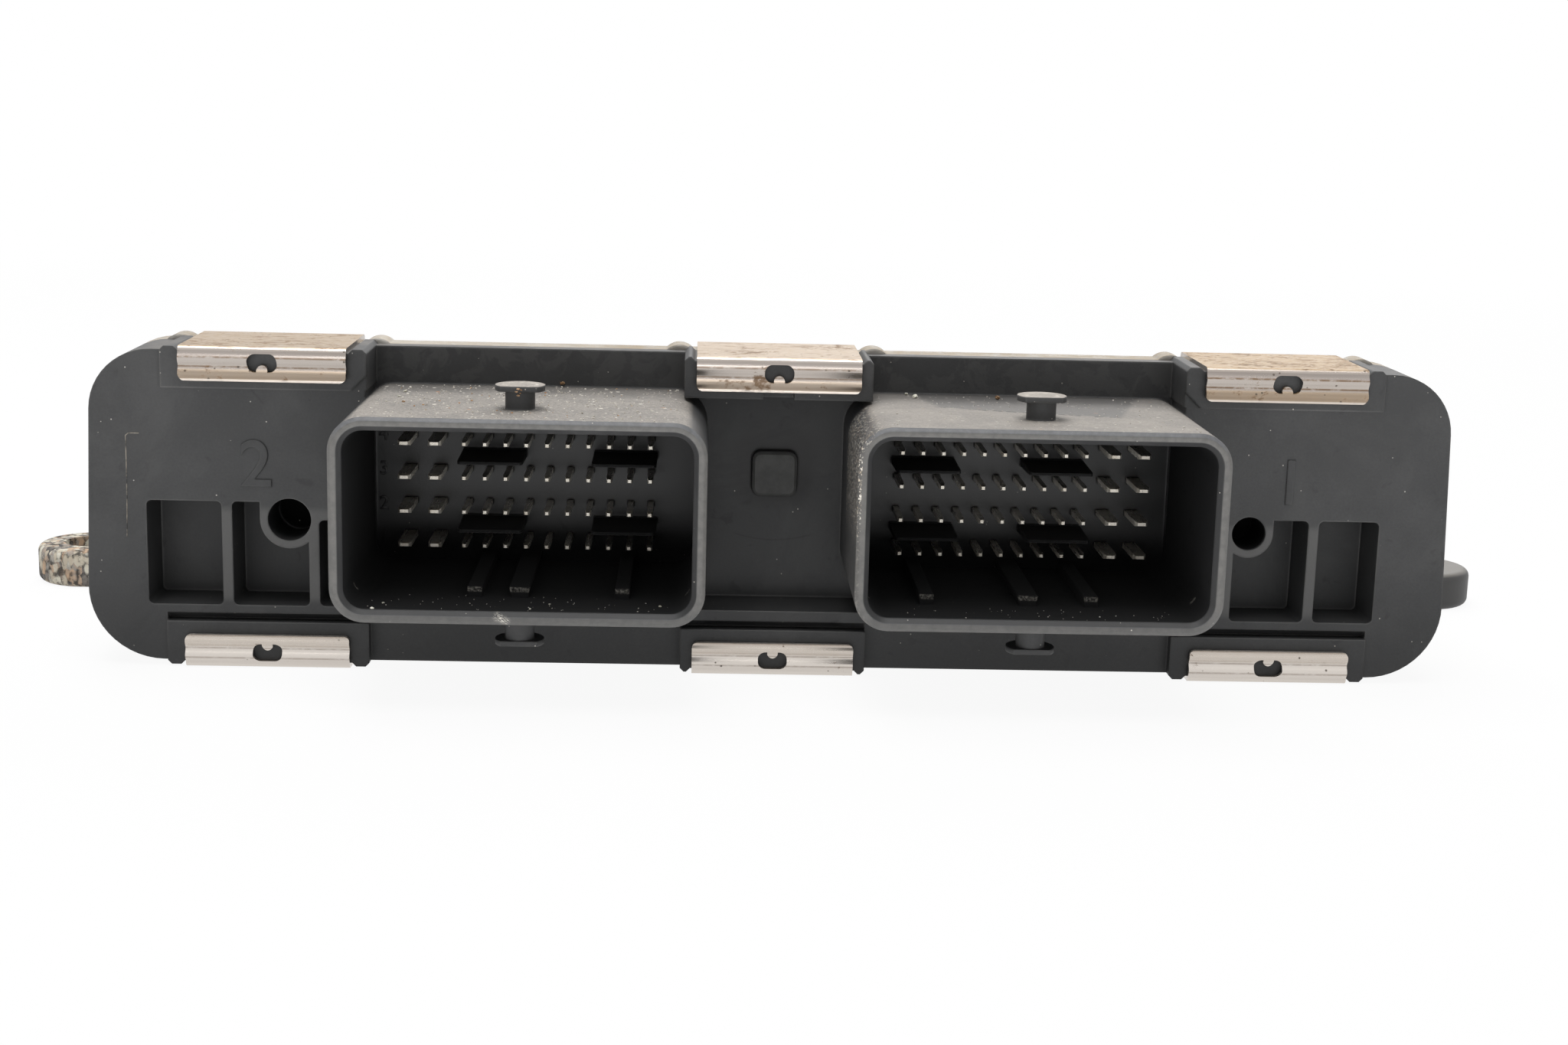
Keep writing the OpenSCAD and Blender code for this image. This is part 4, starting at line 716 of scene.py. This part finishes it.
# the fine raised line that the mould left on the left block, its pale tone a painted highlight along the
# ridge
mouldLine = {
    "face": -33.2, "radius": 0.07, "pale": rgb(0.2, 0.18, 0.15), "dark": rgb(0.03, 0.03, 0.03),
    "path": [(-75.1, 15.3), (-74.98, 19.4), (-74.92, 24.0), (-74.92, 27.15),
             (-74.6, 27.45), (-73.4, 27.45)],
}


def makeMouldLine():
    curve = bpy.data.curves.new("mouldLine", "CURVE")
    curve.dimensions = "3D"
    curve.bevel_depth = mouldLine["radius"] * mm
    curve.bevel_resolution = 1
    curve.use_fill_caps = True
    spline = curve.splines.new("POLY")
    spline.points.add(len(mouldLine["path"]) - 1)
    for point, (x, z) in zip(spline.points, mouldLine["path"]):
        point.co = (x * mm, mouldLine["face"] * mm, z * mm, 1.0)
    line = bpy.data.objects.new("mouldLine", curve)
    mesh = bpy.data.meshes.new_from_object(line)
    bpy.data.objects.remove(line)
    pale = gritFinish("mouldLineFinish", mouldLine["pale"], mouldLine["dark"])
    keepMesh("mouldLine", mesh, pale)


makeMouldLine()
print("mould line laid")


# loose grit on the shrouds' tops and inside their lower lips, beds in millimetres
grit = {
    "beds": {
        "leftTop": [(-45.5, -11.6, -51.3, -26.2, 32.75)],
        "rightTop": [(11.6, 45.5, -51.3, -26.2, 32.75)],
        "lips": [(-45.0, -12.2, -51.2, -44.5, 11.61), (12.2, 45.0, -51.2, -46.5, 11.61),
                 (36.4, 43.2, -51.3, -50.4, 11.61)],
    },
    "kinds": [
        # piece, bed, grains per square metre, least and most radius in mm, seed, colours
        ("gritPaleLeft", "leftTop", 520000.0, 0.05, 0.18, 11,
         rgb(0.85, 0.81, 0.73), rgb(0.46, 0.42, 0.36)),
        ("gritPaleRight", "rightTop", 150000.0, 0.04, 0.13, 12,
         rgb(0.78, 0.74, 0.66), rgb(0.46, 0.42, 0.36)),
        ("gritRustLeft", "leftTop", 45000.0, 0.06, 0.19, 5,
         rgb(0.4, 0.2, 0.09), rgb(0.5, 0.34, 0.2)),
        ("gritPaleLip", "lips", 260000.0, 0.03, 0.1, 23,
         rgb(0.75, 0.73, 0.68), rgb(0.4, 0.37, 0.32)),
    ],
    "stretch": ((0.6, 0.6, 0.5), (1.3, 1.3, 0.9)),
}


def gritTree(paint):
    tree = bpy.data.node_groups.new("gritScatter", "GeometryNodeTree")
    tree.interface.new_socket("Geometry", in_out="OUTPUT", socket_type="NodeSocketGeometry")
    kinds = {"Bed": "Geometry", "Density": "Float", "Least": "Float", "Most": "Float", "Seed": "Int"}
    for name, kind in kinds.items():
        tree.interface.new_socket(name, in_out="INPUT", socket_type="NodeSocket" + kind)
    bench = Bench(tree)
    given = {name: bench.add("NodeGroupInput", out=name) for name in kinds}
    points = bench.add("GeometryNodeDistributePointsOnFaces", {"distribute_method": "RANDOM"},
                       {"Mesh": given["Bed"], "Density": given["Density"], "Seed": given["Seed"]},
                       out="Points")
    grain = bench.add("GeometryNodeMeshIcoSphere", None, {"Radius": 1.0, "Subdivisions": 1}, out="Mesh")
    radius = bench.add("FunctionNodeRandomValue", {"data_type": "FLOAT"},
                       {2: given["Least"], 3: given["Most"], "Seed": given["Seed"]}, out=1)
    shape = bench.add("FunctionNodeRandomValue", {"data_type": "FLOAT_VECTOR"},
                      {0: grit["stretch"][0], 1: grit["stretch"][1], "Seed": given["Seed"]})
    size = bench.add("ShaderNodeVectorMath", {"operation": "SCALE"}, {0: shape, "Scale": radius})
    angle = bench.add("FunctionNodeRandomValue", {"data_type": "FLOAT_VECTOR"},
                      {0: (0.0, 0.0, 0.0), 1: (math.tau, math.tau, math.tau), "Seed": given["Seed"]})
    turn = bench.add("FunctionNodeEulerToRotation", None, {0: angle})
    grains = bench.add("GeometryNodeInstanceOnPoints", None,
                       {"Points": points, "Instance": grain, "Rotation": turn, "Scale": size})
    solid = bench.add("GeometryNodeRealizeInstances", None, {"Geometry": grains})
    dressed = bench.add("GeometryNodeSetMaterial", None, {"Geometry": solid, "Material": paint})
    bench.add("NodeGroupOutput", None, {0: dressed})
    return tree


def bedMesh(beds):
    mesh = bpy.data.meshes.new("gritBed")
    points, faces = [], []
    for x0, x1, y0, y1, z in beds:
        start = len(points)
        points += [(x * mm, y * mm, z * mm) for x, y in ((x0, y0), (x1, y0), (x1, y1), (x0, y1))]
        faces.append((start, start + 1, start + 2, start + 3))
    mesh.from_pydata(points, [], faces)
    return mesh


def makeGrit():
    for name, bed, density, least, most, seed, light, dark in grit["kinds"]:
        paint = gritFinish(name + "Finish", light, dark)
        tree = gritTree(paint)
        carrier = bpy.data.objects.new("gritBed", bedMesh(grit["beds"][bed]))
        bpy.context.scene.collection.objects.link(carrier)
        scatter = carrier.modifiers.new("gritScatter", "NODES")
        scatter.node_group = tree
        values = {"Density": density, "Least": least * mm, "Most": most * mm, "Seed": seed}
        for item in tree.interface.items_tree:
            if item.name in values:
                scatter[item.identifier] = values[item.name]
        bpy.context.view_layer.update()
        grown = carrier.evaluated_get(bpy.context.evaluated_depsgraph_get())
        mesh = bpy.data.meshes.new_from_object(grown)
        carrier.modifiers.remove(scatter)
        bpy.data.objects.remove(carrier)
        mesh.name = name
        keepMesh(name, mesh, paint)
        print("grit:", name, len(mesh.polygons), "faces")


makeGrit()


# the larger crumbs: middle and radius in millimetres
crumbs = {
    "crumbsTan": {"light": rgb(0.5, 0.33, 0.2), "dark": rgb(0.2, 0.11, 0.05), "seed": 3, "lumps": [
        (26.0, -29.0, 33.0, 0.31), (-42.2, -40.4, 32.8, 0.18), (-25.4, -25.8, 33.2, 0.27),
        (-29.02, -45.5, 35.2, 0.15), (-29.2, -45.48, 34.9, 0.13), (-29.03, -45.3, 34.47, 0.17),
        (-28.8, -45.35, 34.7, 0.1), (-28.7, -45.5, 35.1, 0.1)]},
    "crumbsPale": {"light": rgb(0.8, 0.78, 0.68), "dark": rgb(0.55, 0.53, 0.42), "seed": 8, "lumps": [
        (16.2, -29.1, 32.95, 0.34), (15.4, -26.7, 32.9, 0.2), (-43.0, -32.7, 32.85, 0.2),
        (-43.2, -36.4, 32.82, 0.15),
        (-43.5, -48.7, 11.66, 0.13), (-44.35, -51.2, 11.66, 0.17), (-27.3, -50.4, 11.66, 0.13),
        (-25.3, -48.1, 11.66, 0.11), (-13.1, -48.3, 11.66, 0.15)]},
    "flat": 0.7, "jag": 0.28,
}


def makeCrumbs():
    for name in ("crumbsTan", "crumbsPale"):
        kind = crumbs[name]
        chance = random.Random(kind["seed"])
        joined = bmesh.new()
        for x, y, z, radius in kind["lumps"]:
            made = bmesh.ops.create_icosphere(joined, subdivisions=2, radius=radius * mm)
            stretch = chance.uniform(0.8, 1.4)
            for vertex in made["verts"]:
                vertex.co *= 1.0 + chance.uniform(-crumbs["jag"], crumbs["jag"])
                vertex.co.x *= stretch
                vertex.co.z *= crumbs["flat"]
                vertex.co += Vector((x, y, z)) * mm
        mesh = bpy.data.meshes.new(name)
        joined.to_mesh(mesh)
        joined.free()
        keepMesh(name, mesh, gritFinish(name + "Finish", kind["light"], kind["dark"]))


makeCrumbs()
print("crumbs laid")
